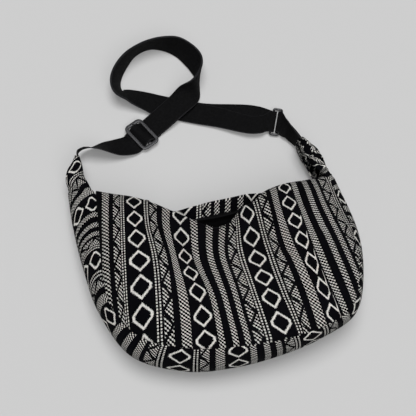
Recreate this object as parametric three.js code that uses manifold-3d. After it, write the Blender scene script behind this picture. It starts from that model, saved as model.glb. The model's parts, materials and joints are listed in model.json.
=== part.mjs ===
// Half-moon crossbody bag in patterned cloth, lying on its back panel with its
// webbing strap looped beyond the mouth. Millimetres. +X runs along the bag's
// width, +Y towards the mouth, +Z up through the front panel, the ground is z = 0.
import * as THREE from "three";
import { mergeVertices } from "three/addons/utils/BufferGeometryUtils.js";
import Module from "manifold-3d";

const wasm = await Module();
wasm.setup();

// Driving sizes
const BAG_WIDTH = 400;        // across the widest part of the gusset
const BAG_HEIGHT = 240;       // from the bottom of the gusset towards the mouth
const BAG_DEPTH = 110;        // from the ground to the crown of the front panel
const CLOTH = 2.0;            // woven cloth with its backing
const LINING = 0.7;
const SEAM_GAP = 0.34;        // clearance between two pieces at a seam
const WEB_WIDTH = 38;
const WEB_THICK = 1.4;
const WEB_GAP = 0.4;          // between two layers of webbing
const ADJUSTER_LENGTH = 30;   // along the strap
const RING_BAR = 3.5;
const RING_LENGTH = 16;       // along the strap
const ZIP_TAPE = 0.8;
const ZIP_LANE = 1.8;         // between the two tooth rows, the slider's web runs in it
const SLIDER_LENGTH = 12;
const HORN_END = 5.0;         // half of a gathered end's thickness, left
const HORN_END_RIGHT = 7.5;   // and right
const HORN_FULL = 11.0;       // half of its thickness below the gathers
const HORN_BOW = 5.0;         // outward bow of the left end

const V = (x, y, z) => new THREE.Vector3(x, y, z);
const HALF = BAG_WIDTH / 2;

// A table row holds x in half widths, y in heights, z in depths.
const at = ([x, y, z]) => V(x * HALF, y * BAG_HEIGHT, z * BAG_DEPTH);

// Catmull-Rom curve through evenly spaced rows, u from 0 to 1.
function curve(points) {
  const n = points.length - 1;
  return (u) => {
    const f = Math.min(Math.max(u, 0), 1) * n;
    const i = Math.min(Math.floor(f), n - 1);
    const k = f - i;
    const p1 = points[i], p2 = points[i + 1];
    const p0 = i > 0 ? points[i - 1] : p1.clone().multiplyScalar(2).sub(p2);
    const p3 = i < n - 1 ? points[i + 2] : p2.clone().multiplyScalar(2).sub(p1);
    const out = p1.clone();
    for (const c of ["x", "y", "z"].filter((c) => c in p1)) {
      const a = p0[c], b = p1[c], d = p2[c], e = p3[c];
      out[c] = 0.5 * (2 * b + (d - a) * k + (2 * a - 5 * b + 4 * d - e) * k * k
        + (3 * b - a - 3 * d + e) * k * k * k);
    }
    return out;
  };
}
const lerp = (a, b, k) => a.clone().lerp(b, k);
const smooth = (k) => { const c = Math.min(Math.max(k, 0), 1); return c * c * (3 - 2 * c); };

// Seams and mouth edges, from the left corner round the bottom to the right corner.
const FRONT_SEAM = curve([[-0.800, 0.613, 0.473], [-0.800, 0.367, 0.564], [-0.805, 0.117, 0.618],
  [-0.770, -0.142, 0.673], [-0.595, -0.352, 0.727], [-0.310, -0.450, 0.745], [0.000, -0.479, 0.745],
  [0.310, -0.475, 0.745], [0.590, -0.429, 0.727], [0.830, -0.317, 0.682], [0.935, -0.067, 0.627],
  [0.942, 0.200, 0.573], [0.880, 0.525, 0.464]].map(at));
const GUSSET_LINE = curve([[-1.000, 0.690, 0.264], [-0.980, 0.450, 0.309], [-0.935, 0.175, 0.336],
  [-0.860, -0.100, 0.345], [-0.675, -0.383, 0.364], [-0.335, -0.510, 0.364], [0.000, -0.527, 0.364],
  [0.330, -0.492, 0.364], [0.610, -0.423, 0.345], [0.850, -0.313, 0.336], [0.965, -0.092, 0.327],
  [1.003, 0.192, 0.309], [0.930, 0.575, 0.273]].map(at));
const BACK_SEAM = curve([[-0.860, 0.625, 0.055], [-0.880, 0.408, 0.036], [-0.840, 0.158, 0.036],
  [-0.765, -0.083, 0.036], [-0.595, -0.317, 0.036], [-0.300, -0.425, 0.036], [0.000, -0.442, 0.036],
  [0.300, -0.413, 0.036], [0.560, -0.346, 0.036], [0.780, -0.250, 0.036], [0.900, -0.067, 0.036],
  [0.920, 0.192, 0.036], [0.840, 0.533, 0.055]].map(at));
const FRONT_MOUTH = curve([[-0.785, 0.642, 0.500], [-0.680, 0.600, 0.545], [-0.550, 0.558, 0.582],
  [-0.420, 0.504, 0.600], [-0.280, 0.429, 0.600], [-0.140, 0.358, 0.582], [0.000, 0.296, 0.564],
  [0.130, 0.317, 0.564], [0.250, 0.379, 0.582], [0.370, 0.475, 0.582], [0.520, 0.525, 0.545],
  [0.680, 0.544, 0.500], [0.830, 0.558, 0.464]].map(at));
const BACK_MOUTH = curve([[-0.770, 0.667, 0.291], [-0.660, 0.623, 0.309], [-0.530, 0.581, 0.336],
  [-0.400, 0.529, 0.355], [-0.275, 0.467, 0.400], [-0.140, 0.463, 0.473], [0.000, 0.475, 0.500],
  [0.135, 0.483, 0.509], [0.265, 0.496, 0.500], [0.390, 0.508, 0.436], [0.530, 0.546, 0.382],
  [0.670, 0.571, 0.345], [0.750, 0.592, 0.309]].map(at));
const CROWN = curve([0.05, 0.18, 0.27, 0.31, 0.31, 0.30, 0.30, 0.30, 0.30, 0.29, 0.25, 0.16, 0.05]
  .map((c) => V(0, 0, c * BAG_DEPTH)));

// Valleys in the front panel: a line from one plan point to another, its depth and half width.
const VALLEYS = [
  { from: [-0.26, 0.36], to: [-0.20, 0.12], deep: 0.050, wide: 0.075 },
  { from: [-0.20, 0.12], to: [0.02, -0.33], deep: 0.055, wide: 0.080 },
  { from: [0.30, 0.36], to: [0.42, 0.04], deep: 0.065, wide: 0.070 },
  { from: [0.58, 0.45], to: [0.68, 0.16], deep: 0.035, wide: 0.060 },
];
function valley(x, y) {
  let deep = 0;
  for (const f of VALLEYS) {
    const ax = f.from[0] * HALF, ay = f.from[1] * BAG_HEIGHT;
    const bx = f.to[0] * HALF - ax, by = f.to[1] * BAG_HEIGHT - ay;
    const k = ((x - ax) * bx + (y - ay) * by) / (bx * bx + by * by);
    const c = Math.min(Math.max(k, 0), 1);
    const far = Math.hypot(x - ax - c * bx, y - ay - c * by) / (f.wide * HALF);
    deep = Math.max(deep, f.deep * BAG_DEPTH * Math.exp(-far * far));
  }
  return deep;
}

// Front panel, u along the seam, v from the mouth (0) to the seam (1).
function frontSkin(u, v) {
  const p = lerp(FRONT_MOUTH(u), FRONT_SEAM(u), v);
  const crown = Math.pow(Math.max(4 * v * (1 - v), 0), 0.92);
  p.z += CROWN(u).z * crown - valley(p.x, p.y) * smooth(4 * v) * smooth(5 * (1 - v));
  return p;
}
// Gusset, w from the front seam (0) through its fullest line to the back seam (1).
function gussetSkin(u, w) {
  const f = FRONT_SEAM(u), g = GUSSET_LINE(u), b = BACK_SEAM(u);
  const k = g.clone().multiplyScalar(2).addScaledVector(f, -0.5).addScaledVector(b, -0.5);
  return f.multiplyScalar((1 - w) * (1 - w)).addScaledVector(k, 2 * w * (1 - w)).addScaledVector(b, w * w);
}
// Back panel, v from the mouth (0) down to the ground and out to the seam (1).
function backSkin(u, v) {
  const m = BACK_MOUTH(u), b = BACK_SEAM(u);
  const p = lerp(m, b, v);
  const rise = Math.max(1 - v / 0.42, 0);
  const curl = Math.max((v - 0.86) / 0.14, 0);
  p.z = m.z * rise * rise + b.z * curl * curl;
  return p;
}

// Unit normal of a skin by central differences.
function normal(skin, u, v) {
  const e = 0.004;
  const clamp = (x) => Math.min(Math.max(x, 0), 1);
  const du = skin(clamp(u + e), v).sub(skin(clamp(u - e), v));
  const dv = skin(u, clamp(v + e)).sub(skin(u, clamp(v - e)));
  return du.cross(dv).normalize();
}

// Closed body between two grids of points that share rows and columns.
function slab(outer, inner) {
  const rows = outer.length, cols = outer[0].length, list = [];
  const tri = (a, b, c) => list.push(a, b, c);
  const quad = (a, b, c, d) => {
    if (a.distanceToSquared(c) <= b.distanceToSquared(d)) { tri(a, b, c); tri(a, c, d); }
    else { tri(a, b, d); tri(b, c, d); }
  };
  for (let i = 0; i + 1 < rows; i++) {
    for (let j = 0; j + 1 < cols; j++) {
      const split = outer[i][j].distanceToSquared(outer[i + 1][j + 1])
        <= outer[i + 1][j].distanceToSquared(outer[i][j + 1]);
      for (const [g, flip] of [[outer, false], [inner, true]]) {
        const a = g[i][j], b = g[i + 1][j], c = g[i + 1][j + 1], d = g[i][j + 1];
        const put = flip ? (x, y, z) => tri(x, z, y) : tri;
        if (split) { put(a, b, c); put(a, c, d); } else { put(a, b, d); put(b, c, d); }
      }
    }
  }
  for (let i = 0; i + 1 < rows; i++) {
    quad(outer[i + 1][0], outer[i][0], inner[i][0], inner[i + 1][0]);
    quad(outer[i][cols - 1], outer[i + 1][cols - 1], inner[i + 1][cols - 1], inner[i][cols - 1]);
  }
  for (let j = 0; j + 1 < cols; j++) {
    quad(outer[0][j], outer[0][j + 1], inner[0][j + 1], inner[0][j]);
    quad(outer[rows - 1][j + 1], outer[rows - 1][j], inner[rows - 1][j], inner[rows - 1][j + 1]);
  }
  return facing(list);
}

// Turns a triangle list into a geometry that faces outwards.
function facing(list) {
  let volume = 0;
  for (let i = 0; i < list.length; i += 3) {
    volume += list[i].dot(list[i + 1].clone().cross(list[i + 2]));
  }
  const pos = [];
  for (let i = 0; i < list.length; i += 3) {
    const [a, b, c] = volume > 0 ? [list[i], list[i + 1], list[i + 2]] : [list[i], list[i + 2], list[i + 1]];
    for (const p of [a, b, c]) pos.push(p.x, p.y, p.z);
  }
  const geo = new THREE.BufferGeometry();
  geo.setAttribute("position", new THREE.Float32BufferAttribute(pos, 3));
  geo.computeVertexNormals();
  return geo;
}

const group = new THREE.Group();
group.name = "crossbody_bag";
const clothLook = new THREE.MeshStandardMaterial({ name: "jacquard_cloth", color: 0x3c3c40, roughness: 0.9 });
const blackCloth = new THREE.MeshStandardMaterial({ name: "black_lining", color: 0x101012, roughness: 0.9 });
const webLook = new THREE.MeshStandardMaterial({ name: "black_webbing", color: 0x17171a, roughness: 0.85 });
const metalLook = new THREE.MeshStandardMaterial({ name: "gunmetal", color: 0x6e6e72, roughness: 0.3, metalness: 1 });
const zipLook = new THREE.MeshStandardMaterial({ name: "black_zip", color: 0x0c0c0e, roughness: 0.7 });
function add(name, geometry, material) {
  const mesh = new THREE.Mesh(geometry, material);
  mesh.name = name;
  group.add(mesh);
  return mesh;
}

// The three cloth pieces and the lining share columns and inward rays, so no two of them meet.
const COLS = 34, FRONT_ROWS = 10, GUSSET_ROWS = 10, BACK_ROWS = 9;
const columns = Array.from({ length: COLS + 1 }, (_, i) => i / COLS);

// Point and inward ray (one cloth thickness deep) of every row of a column.
function column(u) {
  const out = { front: [], gusset: [], back: [] };
  const nf = normal(frontSkin, u, 0.97), ng0 = normal(gussetSkin, u, 0.02);
  const ng1 = normal(gussetSkin, u, 0.98), nb = normal(backSkin, u, 0.97);
  const outward = (n, p) => (n.dot(p.clone().sub(V(0, 0.1 * BAG_HEIGHT, 0.45 * BAG_DEPTH))) < 0 ? n.negate() : n);
  const seamF = FRONT_SEAM(u), seamB = BACK_SEAM(u);
  outward(nf, seamF.clone().add(V(0, 0, 40)));
  outward(ng0, seamF); outward(ng1, seamB);
  if (nb.z > 0) nb.negate();
  // Inward ray at a seam, shared by both pieces, and the half gap towards the panel.
  const mitre = (a, b, into, away) => {
    const m = a.clone().add(b).normalize().negate();
    const deep = Math.min(1 / Math.max(-m.dot(a), 0.45), 1.8);
    const side = into.normalize().sub(away.normalize());
    side.addScaledVector(m, -side.dot(m)).normalize();
    return { ray: m.multiplyScalar(CLOTH * deep), side: side.multiplyScalar(SEAM_GAP / 2) };
  };
  const e = 0.004, u0 = Math.max(u - e, 0), u1 = Math.min(u + e, 1);
  const across = (seam, skin, v0, v1) => {
    const along = seam(u1).sub(seam(u0)).normalize();
    const d = skin(u, v1).sub(skin(u, v0));
    return d.addScaledVector(along, -d.dot(along));
  };
  const mf = mitre(nf, ng0, across(FRONT_SEAM, frontSkin, 1, 0.93), across(FRONT_SEAM, gussetSkin, 0, 0.08));
  const mb = mitre(nb, ng1, across(BACK_SEAM, backSkin, 1, 0.93), across(BACK_SEAM, gussetSkin, 1, 0.92));
  for (let i = 0; i <= FRONT_ROWS; i++) {
    const v = i / FRONT_ROWS, p = frontSkin(u, v);
    if (i === FRONT_ROWS) { out.front.push({ p: p.add(mf.side), ray: mf.ray.clone() }); continue; }
    const n = normal(frontSkin, u, Math.max(v, 0.015));
    if (n.z < 0) n.negate();
    out.front.push({ p, ray: n.multiplyScalar(-CLOTH) });
  }
  for (let i = 0; i <= GUSSET_ROWS; i++) {
    const w = i / GUSSET_ROWS, p = gussetSkin(u, w);
    if (i === 0) { out.gusset.push({ p: p.sub(mf.side), ray: mf.ray.clone() }); continue; }
    if (i === GUSSET_ROWS) { out.gusset.push({ p: p.sub(mb.side), ray: mb.ray.clone() }); continue; }
    const n = outward(normal(gussetSkin, u, w), p);
    out.gusset.push({ p, ray: n.multiplyScalar(-CLOTH) });
  }
  for (let i = 0; i <= BACK_ROWS; i++) {
    const v = 1 - i / BACK_ROWS, p = backSkin(u, v);
    if (i === 0) { out.back.push({ p: p.add(mb.side), ray: mb.ray.clone() }); continue; }
    const n = normal(backSkin, u, Math.max(v, 0.015));
    if (n.z > 0) n.negate();
    out.back.push({ p, ray: n.multiplyScalar(-CLOTH) });
  }
  return out;
}
const body = columns.map(column);
const offset = (q, deep) => q.p.clone().addScaledVector(q.ray, deep / CLOTH);
const shell = (key, a, b) => slab(body.map((c) => c[key].map((q) => offset(q, a))),
  body.map((c) => c[key].map((q) => offset(q, b))));

add("front_panel", shell("front", 0, CLOTH), clothLook);
add("back_panel", shell("back", 0, CLOTH), clothLook);

// Gathered end: the gusset's section drifts to the tip and closes into a flat sleeve
// round the webbing, open along its inner side by a hair.
const SLEEVE_STEPS = 9;
const SLEEVE_HALF = WEB_WIDTH / 2 + 2.4 + CLOTH;
function sleeve(section, inside, tip, across, tall, end, bow) {
  const outer = [], inner = [];
  const base = section.reduce((sum, p) => sum.add(p), V(0, 0, 0)).multiplyScalar(1 / section.length);
  const round = (c) => Math.sign(c) * Math.pow(Math.abs(c), 0.5);
  for (let i = 1; i <= SLEEVE_STEPS; i++) {
    const k = i / SLEEVE_STEPS, e = smooth(1.3 * k);
    const centre = lerp(base, tip, k).addScaledVector(across, bow * Math.sin(Math.PI * k) ** 2);
    const half = end + (HORN_FULL - end) * (1 - smooth((k - 0.62) / 0.38));
    const shift = centre.clone().sub(base);
    const rowO = [], rowI = [];
    for (let j = 0; j <= GUSSET_ROWS; j++) {
      const turn = (2.4 + (355.2 * j) / GUSSET_ROWS) * Math.PI / 180;
      const oval = (a, b) => centre.clone().addScaledVector(across, -b * round(Math.cos(turn)))
        .addScaledVector(tall, a * round(Math.sin(turn)));
      rowO.push(lerp(section[j].clone().add(shift), oval(SLEEVE_HALF, half), e));
      rowI.push(lerp(inside[j].clone().add(shift), oval(SLEEVE_HALF - CLOTH, half - CLOTH), e));
    }
    outer.push(rowO); inner.push(rowI);
  }
  return { outer, inner };
}
const gussetOuter = body.map((c) => c.gusset.map((q) => offset(q, 0)));
const gussetInner = body.map((c) => c.gusset.map((q) => offset(q, CLOTH)));
const TALL = V(0, -0.22, 0.975).normalize();
const tipZ = SLEEVE_HALF * TALL.z + 0.6;
const LEFT_TIP = V(-0.908 * HALF, 0.950 * BAG_HEIGHT, tipZ);
const RIGHT_TIP = V(0.745 * HALF, 0.885 * BAG_HEIGHT, tipZ);
const left = sleeve(gussetOuter[0], gussetInner[0], LEFT_TIP, V(-1, 0, 0), TALL, HORN_END, HORN_BOW);
const right = sleeve(gussetOuter[COLS], gussetInner[COLS], RIGHT_TIP, V(0.95, 0.31, 0).normalize(), TALL, HORN_END_RIGHT, 0);
add("gusset", slab([...left.outer.reverse(), ...gussetOuter, ...right.outer],
  [...left.inner.reverse(), ...gussetInner, ...right.inner]), clothLook);

// Lining, one bag of thin cloth on the same rays, hung below the zip tapes.
const LINING_AT = CLOTH + 1.0;
const liningRows = (c) => [...c.front.slice(1), ...c.gusset.slice(1, -1), ...c.back.slice(0, -1)];
add("lining", slab(body.slice(1, COLS).map((c) => liningRows(c).map((q) => offset(q, LINING_AT))),
  body.slice(1, COLS).map((c) => liningRows(c).map((q) => offset(q, LINING_AT + LINING)))), blackCloth);

// Joins or cuts closed geometries into one body.
function solid(geometry) {
  const g = geometry.clone();
  g.deleteAttribute("normal");
  g.deleteAttribute("uv");
  const m = mergeVertices(g, 1e-4);
  return new wasm.Manifold(new wasm.Mesh({ numProp: 3,
    vertProperties: Float32Array.from(m.attributes.position.array), triVerts: Uint32Array.from(m.index.array) }));
}
function geometryOf(manifold) {
  const mesh = manifold.getMesh();
  const pos = [];
  for (let i = 0; i < mesh.vertProperties.length; i += mesh.numProp) pos.push(...mesh.vertProperties.slice(i, i + 3));
  const geo = new THREE.BufferGeometry();
  geo.setAttribute("position", new THREE.Float32BufferAttribute(pos, 3));
  geo.setIndex(Array.from(mesh.triVerts));
  geo.computeVertexNormals();
  return geo;
}
const join = (list) => geometryOf(list.map(solid).reduce((a, b) => a.add(b)));

// Zip: a tape inside each mouth edge with a tooth cord along its free side. The left stretch
// is done up in a straight line, the rest lies open.
const TAPE_AT = CLOTH + 0.45;
const lip = (key, mouth, next) => (u, deep, down) => {
  const f = Math.min(Math.max(u, 0), 1) * COLS, i = Math.min(Math.floor(f), COLS - 1);
  const edge = (c) => lerp(offset(c[key][mouth], deep), offset(c[key][next], deep), down);
  return lerp(edge(body[i]), edge(body[i + 1]), f - i);
};
const frontLip = lip("front", 0, 1), backLip = lip("back", BACK_ROWS, BACK_ROWS - 1);
const ZIP_FROM = 0.05, ZIP_SHUT = 0.255, ZIP_TO = 0.93;
const midMouth = (u) => lerp(frontLip(u, TAPE_AT, 0), backLip(u, TAPE_AT, 0), 0.55);
const chainA = midMouth(ZIP_FROM), chainB = midMouth(ZIP_SHUT);
const CHAIN = chainB.clone().sub(chainA).normalize();
const acrossMouth = backLip(0.15, TAPE_AT, 0).sub(frontLip(0.15, TAPE_AT, 0));
const CHAIN_SIDE = acrossMouth.addScaledVector(CHAIN, -acrossMouth.dot(CHAIN)).normalize();
const CHAIN_UP = CHAIN.clone().cross(CHAIN_SIDE).normalize();
const TOOTH = 2.0;            // tooth cord, reach
const TOOTH_T = 2.0;          // and thickness
function zipTape(side) {
  const here = side < 0 ? frontLip : backLip, there = side < 0 ? backLip : frontLip;
  const outer = [], inner = [];
  const stations = 44;
  for (let i = 0; i <= stations; i++) {
    const u = ZIP_FROM + ((ZIP_TO - ZIP_FROM) * i) / stations;
    const a0 = here(u, TAPE_AT, 0.8), a1 = here(u, TAPE_AT + 0.7, 0.06);
    const b0 = here(u, TAPE_AT + ZIP_TAPE, 0.8), b1 = here(u, TAPE_AT + 0.7 + ZIP_TAPE, 0.06);
    const root = lerp(a1, b1, 0.5);
    const reach = there(u, TAPE_AT, 0).sub(root);
    const open = smooth((u - ZIP_SHUT) / 0.07);
    const shut = lerp(chainA, chainB, (u - ZIP_FROM) / (ZIP_SHUT - ZIP_FROM))
      .addScaledVector(CHAIN_SIDE, side * (ZIP_LANE / 2 + TOOTH));
    const free = root.clone().addScaledVector(reach.clone().normalize(), Math.min(6, 0.3 * reach.length()));
    const edge = lerp(shut, free, open);
    const into = lerp(CHAIN_SIDE.clone().multiplyScalar(-side), reach.clone().normalize(), open).normalize();
    const along = CHAIN.clone().multiplyScalar(1 - open).addScaledVector(here(Math.min(u + 0.01, 1), TAPE_AT, 0)
      .sub(here(u - 0.01, TAPE_AT, 0)).normalize(), open).normalize();
    const up = along.clone().cross(into).normalize();
    if (side > 0) up.negate();
    const rowsUp = [a0, a1], rowsDown = [b0, b1];
    for (const [far, thick] of [[0, ZIP_TAPE], [0.4, TOOTH_T], [TOOTH, TOOTH_T]]) {
      const p = edge.clone().addScaledVector(into, far);
      rowsUp.push(p.clone().addScaledVector(up, thick / 2));
      rowsDown.push(p.clone().addScaledVector(up, -thick / 2));
    }
    outer.push(rowsUp); inner.push(rowsDown);
  }
  return slab(outer, inner);
}
add("zip_tape_front", zipTape(-1), zipLook);
add("zip_tape_back", zipTape(1), zipLook);

// Slider: two plates joined by a web in the lane, with an arch on top for the pull.
const box = (x, y, z, cx, cy, cz) => new THREE.BoxGeometry(x, y, z).translate(cx, cy, cz);
const PLATE_Z = TOOTH_T / 2 + 0.5, PLATE_T = 1.2, ARCH = 2.2;
const PLATE_Y = 2 * (ZIP_LANE / 2 + TOOTH) + 1.6;
const TOP = PLATE_Z + PLATE_T;
const sliderGeo = join([
  box(SLIDER_LENGTH, PLATE_Y, PLATE_T, 0, 0, PLATE_Z + PLATE_T / 2),
  box(SLIDER_LENGTH, PLATE_Y, PLATE_T, 0, 0, -PLATE_Z - PLATE_T / 2),
  box(SLIDER_LENGTH * 0.75, ZIP_LANE - 0.8, 2 * PLATE_Z + 0.4, SLIDER_LENGTH * 0.1, 0, 0),
  box(1.3, 1.6, ARCH + 0.4, -2.75, 0, TOP + ARCH / 2 - 0.2), box(1.3, 1.6, ARCH + 0.4, 2.75, 0, TOP + ARCH / 2 - 0.2),
  box(6.8, 1.6, 1.2, 0, 0, TOP + ARCH + 0.5),
]);
const PIVOT_Z = TOP + ARCH / 2;
const PULL_LENGTH = 22, PULL_WIDE = 7, PULL_PIN = 1.2;
const pin = new THREE.CylinderGeometry(PULL_PIN / 2, PULL_PIN / 2, 6, 16);
const pullGeo = join([
  pin,
  box(6, 1.4, PULL_PIN, -2.9, 2.7, 0), box(6, 1.4, PULL_PIN, -2.9, -2.7, 0),
  box(PULL_LENGTH - 4.8, PULL_WIDE, PULL_PIN, -4.8 - (PULL_LENGTH - 4.8) / 2, 0, 0),
]);
const sliderAt = chainB.clone().addScaledVector(CHAIN, -9);
const onChain = (geometry, x, z) => {
  const m = new THREE.Matrix4().makeBasis(CHAIN, CHAIN_SIDE, CHAIN_UP);
  m.setPosition(sliderAt.clone().addScaledVector(CHAIN, x).addScaledVector(CHAIN_UP, z));
  return geometry.applyMatrix4(m);
};
add("zip_slider", onChain(sliderGeo, 0, 0), metalLook);
add("zip_pull", onChain(pullGeo, 0, PIVOT_Z), metalLook);

// Ribbon frame from rows of centre and width direction.
function ribbonPath(rows) {
  const centre = curve(rows.map((r) => r.c)), width = curve(rows.map((r) => r.w));
  const N = 900, pts = [];
  let s = 0;
  for (let i = 0; i <= N; i++) {
    const c = centre(i / N);
    if (i) s += c.distanceTo(pts[i - 1].c);
    pts.push({ s, c, w: width(i / N) });
  }
  for (let i = 0; i <= N; i++) {
    const t = pts[Math.min(i + 1, N)].c.clone().sub(pts[Math.max(i - 1, 0)].c).normalize();
    pts[i].t = t;
    pts[i].w.addScaledVector(t, -pts[i].w.dot(t)).normalize();
    pts[i].n = t.clone().cross(pts[i].w).normalize();
  }
  const length = s;
  const frame = (x) => {
    const q = Math.min(Math.max(x, 0), length);
    let lo = 0, hi = N;
    while (hi - lo > 1) { const m = (lo + hi) >> 1; if (pts[m].s <= q) lo = m; else hi = m; }
    const a = pts[lo], b = pts[hi], k = (q - a.s) / Math.max(b.s - a.s, 1e-9);
    const t = lerp(a.t, b.t, k).normalize();
    const w = lerp(a.w, b.w, k).normalize();
    const n = lerp(a.n, b.n, k).normalize();
    return { c: lerp(a.c, b.c, k).addScaledVector(t, x - q), t, w, n };
  };
  return { frame, length, sOf: (u) => pts[Math.round(u * N)].s };
}
// Webbing swept along a list of (s, h, x): s runs along the path, h rises from it, x slips sideways.
// The share of its full width narrows where it is pinched into a gathered end.
function webbing(path, line, share = () => 1) {
  const rings = [];
  line.forEach(([s, h, slip = 0], i) => {
    const a = line[Math.max(i - 1, 0)], b = line[Math.min(i + 1, line.length - 1)];
    const span = Math.hypot(b[0] - a[0], b[1] - a[1]);
    const ds = (b[0] - a[0]) / span, dh = (b[1] - a[1]) / span;
    const f = path.frame(s);
    const p = f.c.clone().addScaledVector(f.n, h).addScaledVector(f.w, slip);
    const up = f.t.clone().multiplyScalar(-dh).addScaledVector(f.n, ds).multiplyScalar(WEB_THICK / 2);
    const side = f.w.clone().multiplyScalar(share(s) * WEB_WIDTH / 2);
    rings.push([p.clone().sub(side).sub(up), p.clone().add(side).sub(up),
      p.clone().add(side).add(up), p.clone().sub(side).add(up)]);
  });
  const list = [];
  const quad = (a, b, c, d) => list.push(a, b, c, a, c, d);
  for (let i = 0; i + 1 < rings.length; i++) {
    for (let j = 0; j < 4; j++) {
      quad(rings[i][j], rings[i][(j + 1) % 4], rings[i + 1][(j + 1) % 4], rings[i + 1][j]);
    }
  }
  const a = rings[0], b = rings[rings.length - 1];
  quad(a[3], a[2], a[1], a[0]);
  quad(b[0], b[1], b[2], b[3]);
  return facing(list);
}
const PINCH = 0.26;            // width lost at a gathered end
const pinched = (s) => 1 - PINCH * (1 - smooth(s / 48));
const row = (x, y, z, wx, wy, wz) => ({ c: V(x * HALF, y * BAG_HEIGHT, z * WEB_WIDTH), w: V(wx, wy, wz) });

// The strap's lie: out of the left end, flat through the adjuster, over its own far run,
// up on edge round the loop, down under the crossing and flat again to the ring.
const LOW = 0.5;                                // clearance to the ground
const lead = (x, y, z, w) => ({ c: LEFT_TIP.clone().add(V(x, y, z)), w });
const ADJUSTER_AT = V(-0.415 * HALF, 1.121 * BAG_HEIGHT, LOW);
const RUN = V(0.80, 0.60, 0), SIDE = V(-0.60, 0.80, 0);
const flat = (s) => ({ c: ADJUSTER_AT.clone().addScaledVector(RUN, s), w: SIDE.clone() });
const STRAP_ROWS = [
  lead(0, -6.5, 0, V(0, 0.22, -0.975)), lead(0, 2, 0, V(0, 0.24, -0.97)),
  row(-0.890, 1.010, 0.560, 0.03, 0.40, -0.90), row(-0.840, 1.035, 0.510, 0.06, 0.50, -0.86),
  row(-0.770, 1.040, 0.450, 0.00, 0.60, -0.80), row(-0.690, 1.043, 0.330, -0.10, 0.82, -0.56),
  row(-0.610, 1.045, 0.160, -0.35, 0.90, -0.22),
  flat(-24), flat(-12), flat(0), flat(12), flat(24),
  row(-0.205, 1.243, 0.190, -0.62, 0.78, 0.02), row(-0.108, 1.306, 0.235, -0.68, 0.73, 0.06),
  row(-0.034, 1.354, 0.320, -0.74, 0.48, 0.36), row(0.030, 1.416, 0.490, -0.20, 0.04, 0.96),
  row(0.062, 1.500, 0.520, 0.16, 0.08, 0.97), row(0.055, 1.583, 0.500, 0.42, 0.22, 0.88),
  row(0.020, 1.652, 0.490, 0.38, 0.35, 0.86), row(-0.045, 1.728, 0.510, 0.15, 0.30, 0.94),
  row(-0.142, 1.760, 0.535, 0.00, 0.00, 1.00), row(-0.262, 1.770, 0.525, 0.00, -0.25, 0.96),
  row(-0.370, 1.735, 0.525, 0.10, -0.20, 0.97), row(-0.462, 1.665, 0.530, 0.00, 0.00, 0.99),
  row(-0.530, 1.580, 0.525, -0.14, 0.05, 0.97), row(-0.556, 1.500, 0.512, -0.34, -0.12, 0.91),
  row(-0.535, 1.442, 0.456, -0.40, -0.50, 0.76), row(-0.455, 1.418, 0.330, -0.25, -0.82, 0.47),
  row(-0.335, 1.376, 0.190, -0.28, -0.93, 0.16), row(-0.230, 1.335, 0.125, -0.33, -0.94, 0.03),
  row(0.035, 1.250, 0.112, -0.34, -0.94, 0.00), row(0.262, 1.198, 0.112, -0.33, -0.94, 0.00),
  row(0.440, 1.154, 0.112, -0.35, -0.93, 0.00), row(0.590, 1.113, 0.112, -0.36, -0.93, 0.00),
];
const strapPath = ribbonPath(STRAP_ROWS);
const adjusterS = strapPath.sOf(9 / (STRAP_ROWS.length - 1));
const endS = strapPath.length;
const k = ADJUSTER_LENGTH / 30;                 // adjuster sizes follow its length
const layer = WEB_THICK + WEB_GAP;
const H1 = LOW + WEB_THICK / 2, H2 = H1 + layer, H3 = H2 + layer;
const BAR_T = 3.0 * k, BAR_W = 4.5 * k;         // adjuster bar, thick and wide
const FRAME_H = H3 + WEB_THICK / 2 + 0.35 + BAR_T / 2;   // middle of the adjuster's bars
const OVER1 = FRAME_H + BAR_T / 2 + 0.35 + WEB_THICK / 2, OVER2 = OVER1 + layer + 0.2;
const UNDER = FRAME_H - BAR_T / 2 - 0.45 - WEB_THICK / 2;
// (s, h) of the run from the end piece: under a bar, over the middle bar, under a bar.
const overRun = [[-62, H1 - 0.6], [-50, H1], [-34, H1 + 0.9], [-22, H3 - 0.9], [-15.5, H3], [-10.8, H3 + 0.1],
  [-8.9, H3 + 1.7], [-4.9, OVER2 - 1.5], [-2.3, OVER2 - 0.2], [0, OVER2], [2.3, OVER2 - 0.2], [4.8, OVER2 - 1.5],
  [8.7, H3 + 1.7], [10.6, H3 + 0.1], [15.5, H3], [26, H3 - 0.1], [38, H2 + 0.7], [52, H2]];
// (s, h) of the run back from the ring: over the middle bar, round it, tail sewn underneath.
const backRun = [[52, H1], [38, H1 + 0.7], [26, H2 - 0.1], [15.5, H2], [9.4, H2 + 0.2], [7.1, H2 + 1.7],
  [4.1, OVER1 - 1.7], [2.5, OVER1 - 0.3], [0, OVER1], [-2.2, OVER1 - 0.3], [-3.5, OVER1 - 1.8], [-3.6, UNDER + 1.7],
  [-2.6, UNDER + 0.35], [-0.6, UNDER - 0.1], [3, UNDER - 1.3], [8, H1 + 0.35], [13, H1 + 0.1], [24, H1]];
const nearS = (list) => list.map(([s, h]) => [adjusterS + s * k, h]);
// Between adjuster and ring the two layers keep one list of stations.
const midS = [];
const from = adjusterS + 52 * k, to = endS - 34;
const MID = 92;
for (let i = 1; i < MID; i++) midS.push(from + ((to - from) * i) / MID);
const EYE = RING_BAR / 2 + 0.3 + WEB_THICK / 2;  // radius of webbing round a ring bar
const eyeH = H2 - EYE;                           // ring bar's middle, the path's normal points down here
const eye = (s, lead, sign, slip = 0) => {
  const out = [];
  for (let i = 0; i <= 10; i++) {
    const a = Math.PI / 2 - (Math.PI * i) / 10;
    out.push([s + EYE * Math.cos(a) * sign, lead + EYE * Math.sin(a), slip * i / 10]);
  }
  return out;
};
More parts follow.
